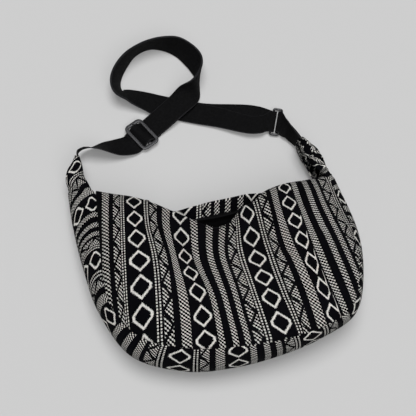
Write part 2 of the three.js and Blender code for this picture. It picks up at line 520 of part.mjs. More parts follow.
// Between the loop and the ring the returning layer lies slipped to one side.
const LAYER_SLIP = 6.0, RING_SLIP = 2.0;
const slipAt = (s) => smooth((s - 0.62 * endS) / (0.14 * endS))
  * (RING_SLIP + (LAYER_SLIP - RING_SLIP) * smooth((endS - 6 - s) / 34));
const startS = [];
for (let i = 0; i < 14; i++) startS.push([(adjusterS - 62 * k) * i / 14, (H1 - 0.6) * i / 14]);
const strapLine = [...startS, ...nearS(overRun), ...midS.map((s) => [s, H2]),
  [endS - 34, H2], [endS - 22, H2], [endS - 12, H2], [endS - 5, H2], ...eye(endS, eyeH, 1, RING_SLIP),
  [endS - 5, eyeH - EYE, RING_SLIP], [endS - 12, eyeH - EYE + 0.9, slipAt(endS - 12)], [endS - 22, H1 - 1.2, slipAt(endS - 22)], [endS - 34, H1, slipAt(endS - 34)],
  ...midS.slice().reverse().map((s) => [s, H1, slipAt(s)]), ...nearS(backRun)];
add("strap_webbing", webbing(strapPath, strapLine, pinched), webLook);

// Places a geometry made in local axes (x along the strap, y across, z up) on a path frame.
function place(geometry, f, h) {
  const up = f.n.z < 0 ? f.n.clone().negate() : f.n.clone();
  const x = f.t.clone(), y = up.clone().cross(x).normalize();
  const m = new THREE.Matrix4().makeBasis(x, y, up);
  m.setPosition(f.c.clone().addScaledVector(f.n, h));
  return geometry.applyMatrix4(m);
}
// Bar of chamfered section, length along y.
function bar(wide, thick, length, chamfer) {
  const x = wide / 2, z = thick / 2, c = chamfer;
  const section = new THREE.Shape([[x, -z + c], [x, z - c], [x - c, z], [-x + c, z], [-x, z - c], [-x, -z + c], [-x + c, -z], [x - c, -z]]
    .map(([a, b]) => new THREE.Vector2(a, b)));
  const geo = new THREE.ExtrudeGeometry(section, { depth: length, bevelEnabled: false });
  geo.translate(0, 0, -length / 2);
  return geo.rotateX(Math.PI / 2);
}

// Adjuster: one cast frame with a middle bar.
const SLOT_Y = WEB_WIDTH / 2 + 0.9;
const BEVEL = 0.8 * k;
const REACH = ADJUSTER_LENGTH / 2 - BAR_W / 2;
const frameGeo = join([
  ...[-REACH, 0, REACH].map((x) => bar(BAR_W, BAR_T, 2 * SLOT_Y + 1.4 * BAR_W, BEVEL).translate(x, 0, 0)),
  ...[-1, 1].map((side) => bar(BAR_W, BAR_T, ADJUSTER_LENGTH - 0.8 * BAR_W, BEVEL).rotateZ(Math.PI / 2)
    .translate(0, side * (SLOT_Y + BAR_W / 2), 0)),
]);
add("strap_adjuster", place(frameGeo, strapPath.frame(adjusterS), FRAME_H), metalLook);

// Ring: a round bar bent to a rectangle.
function ringGeo(hx, hy, r, bar) {
  const pts = [];
  const corner = (cx, cy, a0) => { for (let i = 0; i <= 5; i++) { const a = a0 + (Math.PI / 2) * i / 5; pts.push(V(cx + r * Math.cos(a), cy + r * Math.sin(a), 0)); } };
  corner(hx - r, hy - r, 0); corner(-hx + r, hy - r, Math.PI / 2); corner(-hx + r, -hy + r, Math.PI); corner(hx - r, -hy + r, 1.5 * Math.PI);
  const n = pts.length, M = 12, list = [];
  const loop = pts.map((p, i) => {
    const t = pts[(i + 1) % n].clone().sub(pts[(i + n - 1) % n]).normalize();
    const side = V(t.y, -t.x, 0);
    return Array.from({ length: M }, (_, j) => {
      const a = (2 * Math.PI * j) / M;
      return p.clone().addScaledVector(side, (bar / 2) * Math.cos(a)).add(V(0, 0, (bar / 2) * Math.sin(a)));
    });
  });
  for (let i = 0; i < n; i++) for (let j = 0; j < M; j++) {
    const a = loop[i][j], b = loop[(i + 1) % n][j], c = loop[(i + 1) % n][(j + 1) % M], d = loop[i][(j + 1) % M];
    list.push(a, b, c, a, c, d);
  }
  return facing(list);
}
const RING_REACH = (RING_LENGTH - RING_BAR) / 2;
const RING_HALF = WEB_WIDTH / 2 + 2.6 + RING_BAR / 2;
const ringFrame = strapPath.frame(endS);
const ring = ringGeo(RING_REACH, RING_HALF, 2.4, RING_BAR);
ring.translate(RING_REACH, 0, 0);
add("strap_ring", place(ring, ringFrame, eyeH), metalLook);

// Ring tab: a short piece of webbing folded over the ring's other bar. It fans out from the
// right end piece, where it stands pinched on edge, to its full width on the bar.
const barC = ringFrame.c.clone().addScaledVector(ringFrame.n, eyeH).addScaledVector(ringFrame.t, 2 * RING_REACH);
const TAB_IN = 6.5;            // held inside the end piece
const tabFrom = RIGHT_TIP.clone().add(V(2.6, -TAB_IN, 0));
const tabEdge = V(-0.10, 0.18, -0.97).multiplyScalar(1 - PINCH);
const tabEnd = tabFrom.distanceTo(barC);
const chord = barC.clone().sub(tabFrom).normalize();
const tabPath = { length: tabEnd, frame: (x) => {
  const k = Math.min(Math.max(x / tabEnd, 0), 1);
  const w = lerp(tabEdge, ringFrame.w, smooth(1.2 * k - 0.2)).addScaledVector(V(-1, 0, 0), 0.13 * Math.sin(Math.PI * Math.min(1.6 * k, 1)));
  const t = lerp(chord, ringFrame.t.clone().negate(), smooth((k - 0.7) / 0.3)).normalize();
  const c = lerp(tabFrom, barC, k).addScaledVector(ringFrame.t, -Math.max(x - tabEnd, 0));
  return { c, t, w, n: t.clone().cross(w).normalize() };
} };
const spread = (s) => 0.9 + 0.25 + (EYE - 1.15) * smooth((s - (tabEnd - 26)) / 22);
const tabS = Array.from({ length: 15 }, (_, i) => (tabEnd - 1.5) * i / 14);
const tabLine = [...tabS.map((s) => [s, spread(s)]), ...eye(tabEnd, 0, 1), ...tabS.slice().reverse().map((s) => [s, -spread(s)])];
add("ring_tab", webbing(tabPath, tabLine), webLook);

export default group;
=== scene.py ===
"""Crossbody bag in black and off-white jacquard cloth, lying on its back, dressed over its solids."""

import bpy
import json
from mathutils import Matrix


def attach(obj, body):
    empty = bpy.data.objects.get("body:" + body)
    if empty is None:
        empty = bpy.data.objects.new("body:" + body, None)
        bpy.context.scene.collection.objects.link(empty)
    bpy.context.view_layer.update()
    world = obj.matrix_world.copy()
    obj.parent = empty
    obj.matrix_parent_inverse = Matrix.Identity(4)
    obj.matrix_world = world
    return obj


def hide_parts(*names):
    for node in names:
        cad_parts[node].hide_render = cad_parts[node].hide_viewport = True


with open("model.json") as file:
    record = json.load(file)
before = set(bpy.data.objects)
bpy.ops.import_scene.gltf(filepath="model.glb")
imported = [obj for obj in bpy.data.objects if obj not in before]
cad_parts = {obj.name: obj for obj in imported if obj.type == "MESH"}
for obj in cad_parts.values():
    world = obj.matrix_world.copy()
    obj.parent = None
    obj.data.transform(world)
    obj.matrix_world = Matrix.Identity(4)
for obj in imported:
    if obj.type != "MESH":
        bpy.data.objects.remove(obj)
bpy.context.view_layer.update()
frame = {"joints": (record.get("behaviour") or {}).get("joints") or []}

import json
from functools import partialmethod

import bpy
import numpy as np
from bpy.props import FloatProperty, FloatVectorProperty, PointerProperty
from mathutils import Vector

bl_info = {
    "name": "Crossbody bag dressing",
    "version": (1, 0, 0),
    "blender": (4, 5, 0),
    "location": "View3D > Sidebar > Bag",
    "description": "Builds the cloth, strap, zip, metal parts and stage of a crossbody bag",
    "category": "Object",
}

# Sizes in millimetres, as the solids have them.
MM = 0.001
HALF, HEIGHT, DEPTH = 200.0, 240.0, 110.0
CLOTH, LINING, FACING, TAPE = 2.0, 0.7, 0.9, 0.7
WEB_WIDE, WEB_THICK = 38.0, 1.4
MIDDLE = np.array([0.0, 0.1 * HEIGHT, 0.45 * DEPTH])

# Points across and along each cloth piece.
FRONT_GRID, BACK_GRID = (140, 344), (110, 300)
GUSSET_GRID, SLEEVE_STEPS = (72, 420), 64

# Valleys of the front panel: two plan points (half widths, heights), depth, half width.
VALLEYS = [
    (-0.26, 0.36, -0.20, 0.12, 0.065, 0.070),
    (-0.20, 0.12, 0.02, -0.33, 0.070, 0.075),
    (0.30, 0.36, 0.42, 0.04, 0.090, 0.062),
    (0.58, 0.45, 0.68, 0.16, 0.050, 0.055),
]

# Lay of the stripes on the front panel: cloth millimetres of a stripe, and its plan x at each plan y.
LAY_LEVELS = [130.0, 70.0, 10.0, -50.0, -110.0]
LAY_MARGIN = 60.0
LAY = [
    (-13, [-150, -155, -160, -162, -164]),
    (0, [-134, -138, -142, -143, -143]),
    (21, [-119, -122, -126, -130, -131]),
    (55, [-93, -95, -91, -94, -100]),
    (76, [-74, -79, -72, -73, -77]),
    (98, [-52, -61, -58, -51, -53]),
    (131, [-30, -34, -37, -24, -20]),
    (180, [29, 21, 10, 17, 26]),
    (201, [36, 34, 30, 37, 49]),
    (235, [57, 58, 59, 67, 84]),
    (256, [78, 78, 79, 89, 101]),
    (278, [96, 93, 99, 113, 126]),
    (311, [116, 117, 122, 134, 155]),
    (360, [157, 160, 175, 191, 203]),
]

# The cloth's repeat across, the pitch of its lozenges and the middles of their two files in a repeat.
REPEAT, PITCH = 180.0, 35.0
FIRST_FILE, SECOND_FILE = 38.0, 114.5

# Files of lozenges on the front panel: cloth millimetres across, count of the first, plan y of each.
FILES = [
    (FIRST_FILE, -1, [117, 81, 48, 14, -23, -60]),
    (SECOND_FILE, 0, [93, 48, 13, -13, -40, -74, -102]),
    (FIRST_FILE + REPEAT, 0, [76, 33, -5, -33, -61, -93]),
    (SECOND_FILE + REPEAT, -1, [115, 81, 47, 16, -19, -56, -88]),
]


def smooth(x):
    """Smoothstep: 3k^2 - 2k^3 of x held between 0 and 1."""
    k = np.clip(x, 0.0, 1.0)
    return k * k * (3.0 - 2.0 * k)


def bell(x, middle, wide):
    """exp(-((x - middle) / wide)^2)."""
    return np.exp(-((x - middle) / wide) ** 2)


def bent(x, power):
    """Power of a number's size, with its sign kept."""
    return np.sign(x) * np.abs(x) ** power


def ripple(x, length, seed, lean=0.0):
    """Uneven wave between -1 and 1: three sines of unrelated lengths, shifted by a seed and a phase."""
    x = x * 2 * np.pi / length + lean
    waves = np.sin(x + seed) + 0.7 * np.sin(1.73 * x + 2.1 * seed) + 0.5 * np.sin(2.61 * x + 4.7 * seed)
    return waves / 2.2


def mix(a, b, k):
    """Straight-line blend of two point arrays by a share k of each point."""
    return a + (b - a) * np.asarray(k)[..., None]


def unit(v):
    """Vectors of length one."""
    return v / np.maximum(np.linalg.norm(v, axis=-1, keepdims=True), 1e-9)


def curve(rows):
    """Catmull-Rom curve through evenly spaced rows, its two ends led on in a straight line."""
    r = np.asarray(rows, float)
    r = np.vstack([2 * r[:1] - r[1:2], r, 2 * r[-1:] - r[-2:-1]])
    spans = len(r) - 3

    def at(u):
        f = np.clip(np.asarray(u, float), 0.0, 1.0) * spans
        i = np.minimum(f.astype(int), spans - 1)
        t = (f - i)[..., None]
        a, b, c, d = r[i], r[i + 1], r[i + 2], r[i + 3]
        square, cube = 2 * a - 5 * b + 4 * c - d, 3 * b - a - 3 * c + d
        return 0.5 * (2 * b + (c - a) * t + square * t ** 2 + cube * t ** 3)
    return at


def body_curve(*points):
    """Curve through points given in half widths, heights and depths of the bag."""
    return curve(np.array(points) * [HALF, HEIGHT, DEPTH])


# Seams, edges of the mouth and fullest line of the gusset, each from the left end to the right.
front_seam = body_curve(
    (-0.800, 0.613, 0.473), (-0.800, 0.367, 0.564), (-0.805, 0.117, 0.618), (-0.770, -0.142, 0.673),
    (-0.595, -0.352, 0.727), (-0.310, -0.450, 0.745), (0.000, -0.479, 0.745), (0.310, -0.475, 0.745),
    (0.590, -0.429, 0.727), (0.830, -0.317, 0.682), (0.935, -0.067, 0.627), (0.942, 0.200, 0.573),
    (0.880, 0.525, 0.464))
gusset_line = body_curve(
    (-1.000, 0.690, 0.264), (-0.980, 0.450, 0.309), (-0.935, 0.175, 0.336), (-0.860, -0.100, 0.345),
    (-0.675, -0.383, 0.364), (-0.335, -0.510, 0.364), (0.000, -0.527, 0.364), (0.330, -0.492, 0.364),
    (0.610, -0.423, 0.345), (0.850, -0.313, 0.336), (0.965, -0.092, 0.327), (1.003, 0.192, 0.309),
    (0.930, 0.575, 0.273))
back_seam = body_curve(
    (-0.860, 0.625, 0.055), (-0.880, 0.408, 0.036), (-0.840, 0.158, 0.036), (-0.765, -0.083, 0.036),
    (-0.595, -0.317, 0.036), (-0.300, -0.425, 0.036), (0.000, -0.442, 0.036), (0.300, -0.413, 0.036),
    (0.560, -0.346, 0.036), (0.780, -0.250, 0.036), (0.900, -0.067, 0.036), (0.920, 0.192, 0.036),
    (0.840, 0.533, 0.055))
front_mouth = body_curve(
    (-0.785, 0.642, 0.500), (-0.680, 0.600, 0.545), (-0.550, 0.558, 0.582), (-0.420, 0.504, 0.600),
    (-0.280, 0.429, 0.600), (-0.140, 0.358, 0.582), (0.000, 0.296, 0.564), (0.130, 0.317, 0.564),
    (0.250, 0.379, 0.582), (0.370, 0.475, 0.582), (0.520, 0.525, 0.545), (0.680, 0.544, 0.500),
    (0.830, 0.558, 0.464))
back_mouth = body_curve(
    (-0.770, 0.667, 0.291), (-0.660, 0.623, 0.309), (-0.530, 0.581, 0.336), (-0.400, 0.529, 0.355),
    (-0.275, 0.467, 0.400), (-0.140, 0.463, 0.473), (0.000, 0.475, 0.500), (0.135, 0.483, 0.509),
    (0.265, 0.496, 0.500), (0.390, 0.508, 0.436), (0.530, 0.546, 0.382), (0.670, 0.571, 0.345),
    (0.750, 0.592, 0.309))

# Crown of the front panel at even steps along it, in depths of the bag.
CROWN = [0.05, 0.18, 0.27, 0.31, 0.31, 0.30, 0.30, 0.30, 0.30, 0.29, 0.25, 0.16, 0.05]
crown = curve(np.array(CROWN)[:, None] * DEPTH)

# Fullness of the crown, and the shares of the back panel where it reaches the ground and leaves it.
FULLNESS = 0.92
LANDS, LIFTS = 0.42, 0.86


def valley(x, y):
    """Depth of the deepest valley over a plan point: depth times a bell of the distance to its line."""
    deep = np.zeros_like(x)
    for ax, ay, bx, by, depth, wide in VALLEYS:
        ax, ay, bx, by = ax * HALF, ay * HEIGHT, (bx - ax) * HALF, (by - ay) * HEIGHT
        k = np.clip(((x - ax) * bx + (y - ay) * by) / (bx * bx + by * by), 0.0, 1.0)
        far = np.hypot(x - ax - k * bx, y - ay - k * by)
        deep = np.maximum(deep, depth * DEPTH * bell(far, 0.0, wide * HALF))
    return deep


def front_skin(u, v):
    """Front panel: mouth edge to seam in a straight line, raised by the crown times (4v(1-v)) to the power
    of its fullness and lowered by the valleys."""
    p = mix(front_mouth(u), front_seam(u), v)
    rise = crown(u)[..., 0] * np.maximum(4 * v * (1 - v), 0.0) ** FULLNESS
    p[..., 2] += rise - valley(p[..., 0], p[..., 1]) * smooth(4 * v) * smooth(5 * (1 - v))
    return p


def gusset_skin(u, w):
    """Gusset: quadratic curve from the front seam to the back seam that passes the fullest line half way."""
    f, g, b = front_seam(u), gusset_line(u), back_seam(u)
    k = 2 * g - 0.5 * f - 0.5 * b
    w = w[..., None]
    return f * (1 - w) ** 2 + k * 2 * w * (1 - w) + b * w ** 2


def back_skin(u, v):
    """Back panel: from the mouth down to the ground by a falling square, flat, then up to the seam by a
    rising one."""
    m, b = back_mouth(u), back_seam(u)
    p = mix(m, b, v)
    fall, climb = np.maximum(1 - v / LANDS, 0.0), np.maximum((v - LIFTS) / (1 - LIFTS), 0.0)
    p[..., 2] = m[..., 2] * fall ** 2 + b[..., 2] * climb ** 2
    return p


def skin_normal(skin, u, v, step=0.004):
    """Unit normal of a skin: cross product of its differences along u and v."""
    du = skin(np.clip(u + step, 0, 1), v) - skin(np.clip(u - step, 0, 1), v)
    dv = skin(u, np.clip(v + step, 0, 1)) - skin(u, np.clip(v - step, 0, 1))
    return unit(np.cross(du, dv))


def normals(points):
    """Unit normals of a grid of points: cross product of its two central differences."""
    return unit(np.cross(np.gradient(points, axis=1), np.gradient(points, axis=0)))


def looks_away(points, way):
    """Whether a grid's faces look against a direction, given as one vector or one per point."""
    return float(np.sum(normals(points) * way)) < 0


def lengths(points, axis):
    """Running length along one axis of a grid of points, from zero."""
    step = np.linalg.norm(np.diff(points, axis=axis), axis=-1)
    return np.concatenate([np.zeros_like(np.take(step, [0], axis)), np.cumsum(step, axis)], axis)


def patch(points, cloth=None, round_rows=False, round_cols=False, closed=False, flip=False):
    """Quads over a grid of points in millimetres. round_rows and round_cols join the last row or column
    to the first, closed puts a flat cap on both ends, flip turns the faces over. cloth holds a UV per
    grid point in metres, with one more column where the grid is joined."""
    rows, cols = points.shape[:2]
    i, j = np.meshgrid(np.arange(rows - 1 + round_rows), np.arange(cols - 1 + round_cols), indexing="ij")
    corners = [(i, j), (i, j + 1), (i + 1, j + 1), (i + 1, j)][::-1 if flip else 1]
    quads = np.stack([(a % rows) * cols + b % cols for a, b in corners], -1).reshape(-1, 4)
    caps = []
    if closed:
        first = np.arange(cols)
        last = (rows - 1) * cols + first
        caps = [first, last[::-1]] if flip else [first[::-1], last]
    values = np.zeros((4 * len(quads) + sum(len(c) for c in caps), 2), np.float32)
    if cloth is not None:
        high, wide = cloth.shape[:2]
        spots = [np.minimum(a, high - 1) * wide + np.minimum(b, wide - 1) for a, b in corners]
        values[:4 * len(quads)] = cloth.reshape(-1, 2)[np.stack(spots, -1).ravel()]
    return points.reshape(-1, 3), quads, caps, values


def piece_of(name, patches):
    """One mesh object from several patches, smooth, with their UVs in the map Cloth."""
    verts, faces, base = [], [], 0
    for points, quads, caps, _ in patches:
        verts.append(points)
        faces += (quads + base).tolist() + [(c + base).tolist() for c in caps]
        base += len(points)
    mesh = bpy.data.meshes.new(name)
    mesh.from_pydata((np.concatenate(verts) * MM).tolist(), [], faces)
    values = np.concatenate([v for _, _, _, v in patches])
    mesh.uv_layers.new(name="Cloth").data.foreach_set("uv", values.ravel())
    mesh.polygons.foreach_set("use_smooth", np.ones(len(mesh.polygons), bool))
    mesh.update()
    piece = bpy.data.objects.new(name, mesh)
    bpy.context.scene.collection.objects.link(piece)
    return piece


def surface(name, points, cloth=None, **how):
    """One mesh object from one grid."""
    return piece_of(name, [patch(points, cloth, **how)])


def cloth_map(across, along):
    """UVs in metres from cloth millimetres across and along."""
    return np.stack([across, along], -1) * MM


def thicken(piece, thick, offset=-1.0):
    """Gives a cloth piece its thickness in millimetres, inwards from its face."""
    m = piece.modifiers.new("Thickness", "SOLIDIFY")
    m.thickness, m.offset = thick * MM, offset


def finish_piece(piece, finish, body, slot, *nodes):
    """Puts a finish on a piece, makes it ride on its body and stand for its solids."""
    piece.data.materials.append(bpy.data.materials[finish])
    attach(piece, body)
    if nodes:
        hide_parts(*nodes)


def seam_rays(u):
    """Inward rays at the front and the back seam: the sum of the outward normals of panel and gusset beside
    the seam, turned in."""
    beside = np.full_like(u, 0.03)
    rays = []
    for skin, seam, w, up in ((front_skin, front_seam, beside, 1), (back_skin, back_seam, 1 - beside, -1)):
        panel = skin_normal(skin, u, 1 - beside)
        side = skin_normal(gusset_skin, u, w)
        panel *= up * np.sign(panel[..., 2:3])
        side *= np.sign(np.sum(side * (seam(u) - MIDDLE), -1, keepdims=True))
        rays.append(-unit(panel + side))
    return rays


def tuck(distance, along, seed, reach=7.0, pucker_reach=20.0):
    """How far cloth is drawn in beside a seam: full at the seam, gone at its reach, uneven where stitches
    pucker it."""
    near, wide = (np.clip(1 - distance / r, 0.0, 1.0) for r in (reach, pucker_reach))
    pucker = ripple(along, 17.0, seed)
    return near ** 1.8 * (2.0 + 0.6 * pucker) + 0.7 * pucker * wide * smooth(distance / reach)


# Plain stripes that the count of lozenges steps over: share of the step, cloth millimetres, width. The weave
# leans right of LEANS and is drawn out left of DRAWN_OUT.
COUNT_STEPS = [(0.34, 140, 9.5), (0.33, 159, 7.8), (0.33, 175, 5.0)]
LEANS, DRAWN_OUT = 305.0, -1.0

# Front panel: spacing of its rows, the hump beside the open mouth (place and width along it, reach down, move
# back and up) and its slack folds (height, direction, length, seed).
ROW_SPACING = 0.92
HUMP_AT, HUMP_WIDE, HUMP_REACH = 0.635, 0.050, 0.30
HUMP_MOVE = np.array([0.0, 8.0, 6.0])
SLACK = [(1.2, 0.9, 0.4, 58.0, 0.8), (0.7, 0.5, -0.8, 37.0, 2.2)]
ROLL, ROLL_REACH = 0.9, 4.0

# Stripes of the back panel: plan x at one level and cloth millimetres, and the slant of the stripes.
BACK_PLACES = [(-200, 380), (-7.4, 187), (3.8, 176), (28.7, 149.5), (46.3, 131), (69.8, 98), (200, -32)]
BACK_LEVEL, BACK_SLANT = 105.0, 0.18


def stripe_lay(points):
    """Cloth millimetres across the stripes of the front panel, by plan place: each stripe of LAY is a curve
    x(y), and a point lies between two of them by its share of their gap."""
    x, y = points[..., 0].ravel(), points[..., 1].ravel()
    marks = np.array([stripe for stripe, _ in LAY], float)
    top, bottom = LAY_LEVELS[0], LAY_LEVELS[-1]
    lines = curve(np.transpose([places for _, places in LAY]))((top - y) / (top - bottom))
    lead = LAY_MARGIN * (lines[:, [1, -1]] - lines[:, [0, -2]]) / (marks[[1, -1]] - marks[[0, -2]])
    lines = np.hstack([lines[:, :1] - lead[:, :1], lines, lines[:, -1:] + lead[:, 1:]])
    marks = np.concatenate([[marks[0] - LAY_MARGIN], marks, [marks[-1] + LAY_MARGIN]])
    k = np.clip(np.sum(lines <= x[:, None], 1) - 1, 0, len(marks) - 2)
    spot = np.arange(len(x))
    left, right = lines[spot, k], lines[spot, k + 1]
    share = (x - left) / np.maximum(right - left, 1e-6)
    return (marks[k] + (marks[k + 1] - marks[k]) * share).reshape(points.shape[:2])


def lozenge_count(y, first, levels, beyond=10):
    """Count of a file's lozenges at a plan level, led on in a straight line beyond its ends."""
    places = np.array(levels[::-1], float)
    counts = first + np.arange(len(places))[::-1]
    low = places[0] - beyond * (places[1] - places[0])
    high = places[-1] + beyond * (places[-1] - places[-2])
    counts = np.concatenate([[counts[0] + beyond], counts, [counts[-1] - beyond]])
    return np.interp(y, np.concatenate([[low], places, [high]]), counts)


def along_lay(points, across):
    """Cloth millimetres along the stripes. Each lozenge file gives a count of lozenges by plan y, and a point
    takes the count between the two files beside it. The count changes in the plain stripes only, so that
    the weave runs square to every patterned stripe."""
    counts = np.stack([lozenge_count(points[..., 1], first, levels) for _, first, levels in FILES], -1)
    marks = np.array([mark for mark, _, _ in FILES])
    k = np.clip(np.searchsorted(marks, across) - 1, 0, len(marks) - 2)
    x = np.mod(across, REPEAT)
    steps = sum(part * smooth((x - start) / wide) for part, start, wide in COUNT_STEPS)
    steps = np.where(x < 100.0, 1.0, steps)
    share = np.where(k == 1, steps, smooth((across - marks[k] - FIRST_FILE) / 8.0))
    left, right = (np.take_along_axis(counts, k[..., None] + n, -1)[..., 0] for n in (0, 1))
    along = PITCH * (left + (right - left) * share)
    past = across - LEANS
    along = along + smooth(past / 5.0) * (0.25 * along + 0.5 * past)
    return along - 0.7 * smooth((DRAWN_OUT - across) / 3.0) * across


def front_panel_points(rows, cols):
    """Front panel grid, mouth to seam: the skin with a hump beside the open mouth and slack folds, its
    stitched edge drawn in and its mouth edge rolled."""
    u, v = np.meshgrid(np.linspace(0, 1, cols), np.linspace(0, 1, rows) ** ROW_SPACING)
    p = front_skin(u, v)
    hump = bell(u, HUMP_AT, HUMP_WIDE) * (1 - smooth(v / HUMP_REACH))
    p = p + hump[..., None] * HUMP_MOVE
    x, y = p[..., 0], p[..., 1]
    slack = sum(high * ripple(dx * x + dy * y, length, seed) for high, dx, dy, length, seed in SLACK)
    p[..., 2] += slack * smooth(3.0 * v) * smooth(3.5 * (1 - v))
    face = normals(p)
    face *= np.sign(face[..., 2:3])
    ray, _ = seam_rays(u)
    down = lengths(p, 0)
    p = p + ray * tuck(down[-1:] - down, lengths(front_seam(u[:1]), 1), 0.7)[..., None]
    return p - face * (ROLL * np.clip(1 - down / ROLL_REACH, 0, 1) ** 2)[..., None]


def back_panel_points(rows, cols):
    """Back panel grid, mouth to seam, with its stitched edge drawn in."""
    u, v = np.meshgrid(np.linspace(0, 1, cols), np.linspace(0, 1, rows))
    p = back_skin(u, v)
    _, ray = seam_rays(u)
    down = lengths(p, 0)
    return p + ray * tuck(down[-1:] - down, lengths(back_seam(u[:1]), 1), 5.3)[..., None]


def back_stripes(points):
    """Stripes of the back panel and its facing: cloth millimetres by plan x, in the other direction."""
    x = points[..., 0] - BACK_SLANT * (points[..., 1] - BACK_LEVEL)
    return np.interp(x, *np.transpose(BACK_PLACES))


# The sleeves at the gusset's ends close round the webbing: their upright, half height and tips.
TALL = unit(np.array([0.0, -0.22, 0.975]))
HALF_TALL = WEB_WIDE / 2 + 2.4 + CLOTH
TIP_HIGH = HALF_TALL * TALL[2] + 0.6
LEFT_TIP = np.array([-0.908 * HALF, 0.950 * HEIGHT, TIP_HIGH])
RIGHT_TIP = np.array([0.745 * HALF, 0.885 * HEIGHT, TIP_HIGH])

# Gathered ends: end of the gusset, tip, flat side, half width at the tip and before it, bow, share drawn
# in at the neck, depth of the gathers.
GATHERS = [
    (0, LEFT_TIP, (-1.0, 0.0, 0.0), 5.0, 11.0, 5.0, 0.12, 1.4),
    (-1, RIGHT_TIP, (0.95, 0.31, 0.0), 7.0, 12.0, 0.0, 0.26, 2.1),
]


def gathered_end(section, base, seed, tip, side, thin, full, bow, drawn, deep):
    """One gathered end: the gusset's section drifts from its base to the tip and closes into a flat sleeve, a
    superellipse round the webbing. Ridges of uneven height run along it, and short ones across its neck."""
    side = unit(np.array(side))
    k = (np.arange(1, SLEEVE_STEPS + 1) / SLEEVE_STEPS)[:, None]
    girdle = np.linspace(0, 1, len(section))
    centre = base + (tip - base) * k + side * bow * np.sin(np.pi * k) ** 2
    half = (full - (full - thin) * smooth((k - 0.62) / 0.38)) * (1 - 0.25 * smooth((k - 0.88) / 0.12))
    turn = np.radians(2.4 + 355.2 * girdle)
    wide, high = half * bent(np.cos(turn), 0.5), HALF_TALL * bent(np.sin(turn), 0.5)
    sleeve = centre[:, None] - side * wide[..., None] + TALL * high[..., None]
    drift = section + (centre - base)[:, None]
    aside = np.sum((drift - centre[:, None]) * side, -1) * drawn * bell(k, 0.22, 0.12)
    p = mix(drift - side * aside[..., None], sleeve, smooth(1.3 * k))
    girth = lengths(p, 1)
    ridge = deep * np.sin(np.pi * k) * ripple(girth, 15.0, 1.9 + seed, 2.2 * k)
    neck = 1.3 * bell(k, 0.16, 0.10) * ripple(k, 1 / 9, 3.4 + seed, 0.02 * girth)
    rise = (ridge + neck) * smooth(6 * girdle) * smooth(6 * (1 - girdle))
    return p + unit(p - centre[:, None]) * rise[..., None]


def gusset_points(rows, cols):
    """Gusset grid: along the body its skin with both stitched edges drawn in, then the gathered ends."""
    u, w = np.meshgrid(np.linspace(0, 1, cols), np.linspace(0, 1, rows), indexing="ij")
    p = gusset_skin(u, w)
    across, along = lengths(p, 1), lengths(gusset_line(u[:, :1]), 0)
    gaps = (across, across[:, -1:] - across)
    for ray, gap, seed in zip(seam_rays(u[:, 0]), gaps, (2.3, 4.1)):
        p = p + ray[:, None] * tuck(gap, along, seed)[..., None]
    ends = []
    for end, *form in GATHERS:
        base = gusset_skin(np.full(11, -float(end)), np.linspace(0, 1, 11)).mean(0)
        ends.append(gathered_end(p[end], base, end, *form))
    return np.concatenate([ends[0][::-1], p, ends[1]])


# Stripes of the gusset: millimetres along it and of the cloth, and where their lozenges start across it.
GUSSET_PLACES = [(-120, -26), (-60, 38), (11, 114.5), (106, 218), (338.6, 398), (416.5, 474.5), (814, 872),
                 (1000, 1058)]
GUSSET_STARTS = [(-60, 24), (13, 6.5), (109, 8.6), (338, 13.7), (416, 5.0), (501, 10.0)]


def gusset_lay(points):
    """Cloth millimetres across and along the stripes of the gusset: stripes cross it, their places along it
    read at a few points. On the left side they sag outwards, and on the right sleeve the cloth is turned so
    that they run along it, pulled about by the gathers."""
    along = lengths(points, 0)[:, points.shape[1] // 2]
    along = (along - along[SLEEVE_STEPS])[:, None]
    across = lengths(points, 1)
    sag = 34.0 * (np.minimum(across, 60.0) / 42.0) ** 1.5 * (1 - smooth((along - 150.0) / 120.0))
    x = np.interp(along - sag, *np.transpose(GUSSET_PLACES))
    y = 1.25 * (across - np.interp(along, *np.transpose(GUSSET_STARTS)))
    k = np.arange(SLEEVE_STEPS - len(points), SLEEVE_STEPS)[:, None] / SLEEVE_STEPS
    turned = smooth((k - 0.20) / 0.05)
    pulled = 112.0 + 1.15 * across + 12.0 * k + 5.0 * ripple(along, 26.0, 1.1, 0.11 * across)
    drawn = along + 4.0 * ripple(across, 19.0, 2.7, 0.09 * along)
    return x + (pulled - x) * turned, y + (drawn - y) * turned


def ribbon(rows):
    """Path of a ribbon: centres and width directions on two curves, frames by differences, width set
    square to the path. Gives a function of length and the lengths at even steps of the curve."""
    rows = np.asarray(rows, float)
    u = np.linspace(0, 1, 901)
    c, w = curve(rows[:, :3])(u), curve(rows[:, 3:])(u)
    s = lengths(c, 0)
    t = unit(np.concatenate([[c[1] - c[0]], c[2:] - c[:-2], [c[-1] - c[-2]]]))
    w = unit(w - t * np.sum(w * t, -1, keepdims=True))
    n = unit(np.cross(t, w))

    def at(x):
        q = np.clip(x, 0, s[-1])
        cc, tt, ww, nn = (np.stack([np.interp(q, s, axis) for axis in a.T], -1) for a in (c, t, w, n))
        tt, ww, nn = unit(tt), unit(ww), unit(nn)
        return cc + tt * (x - q)[..., None], tt, ww, nn
    return at, s


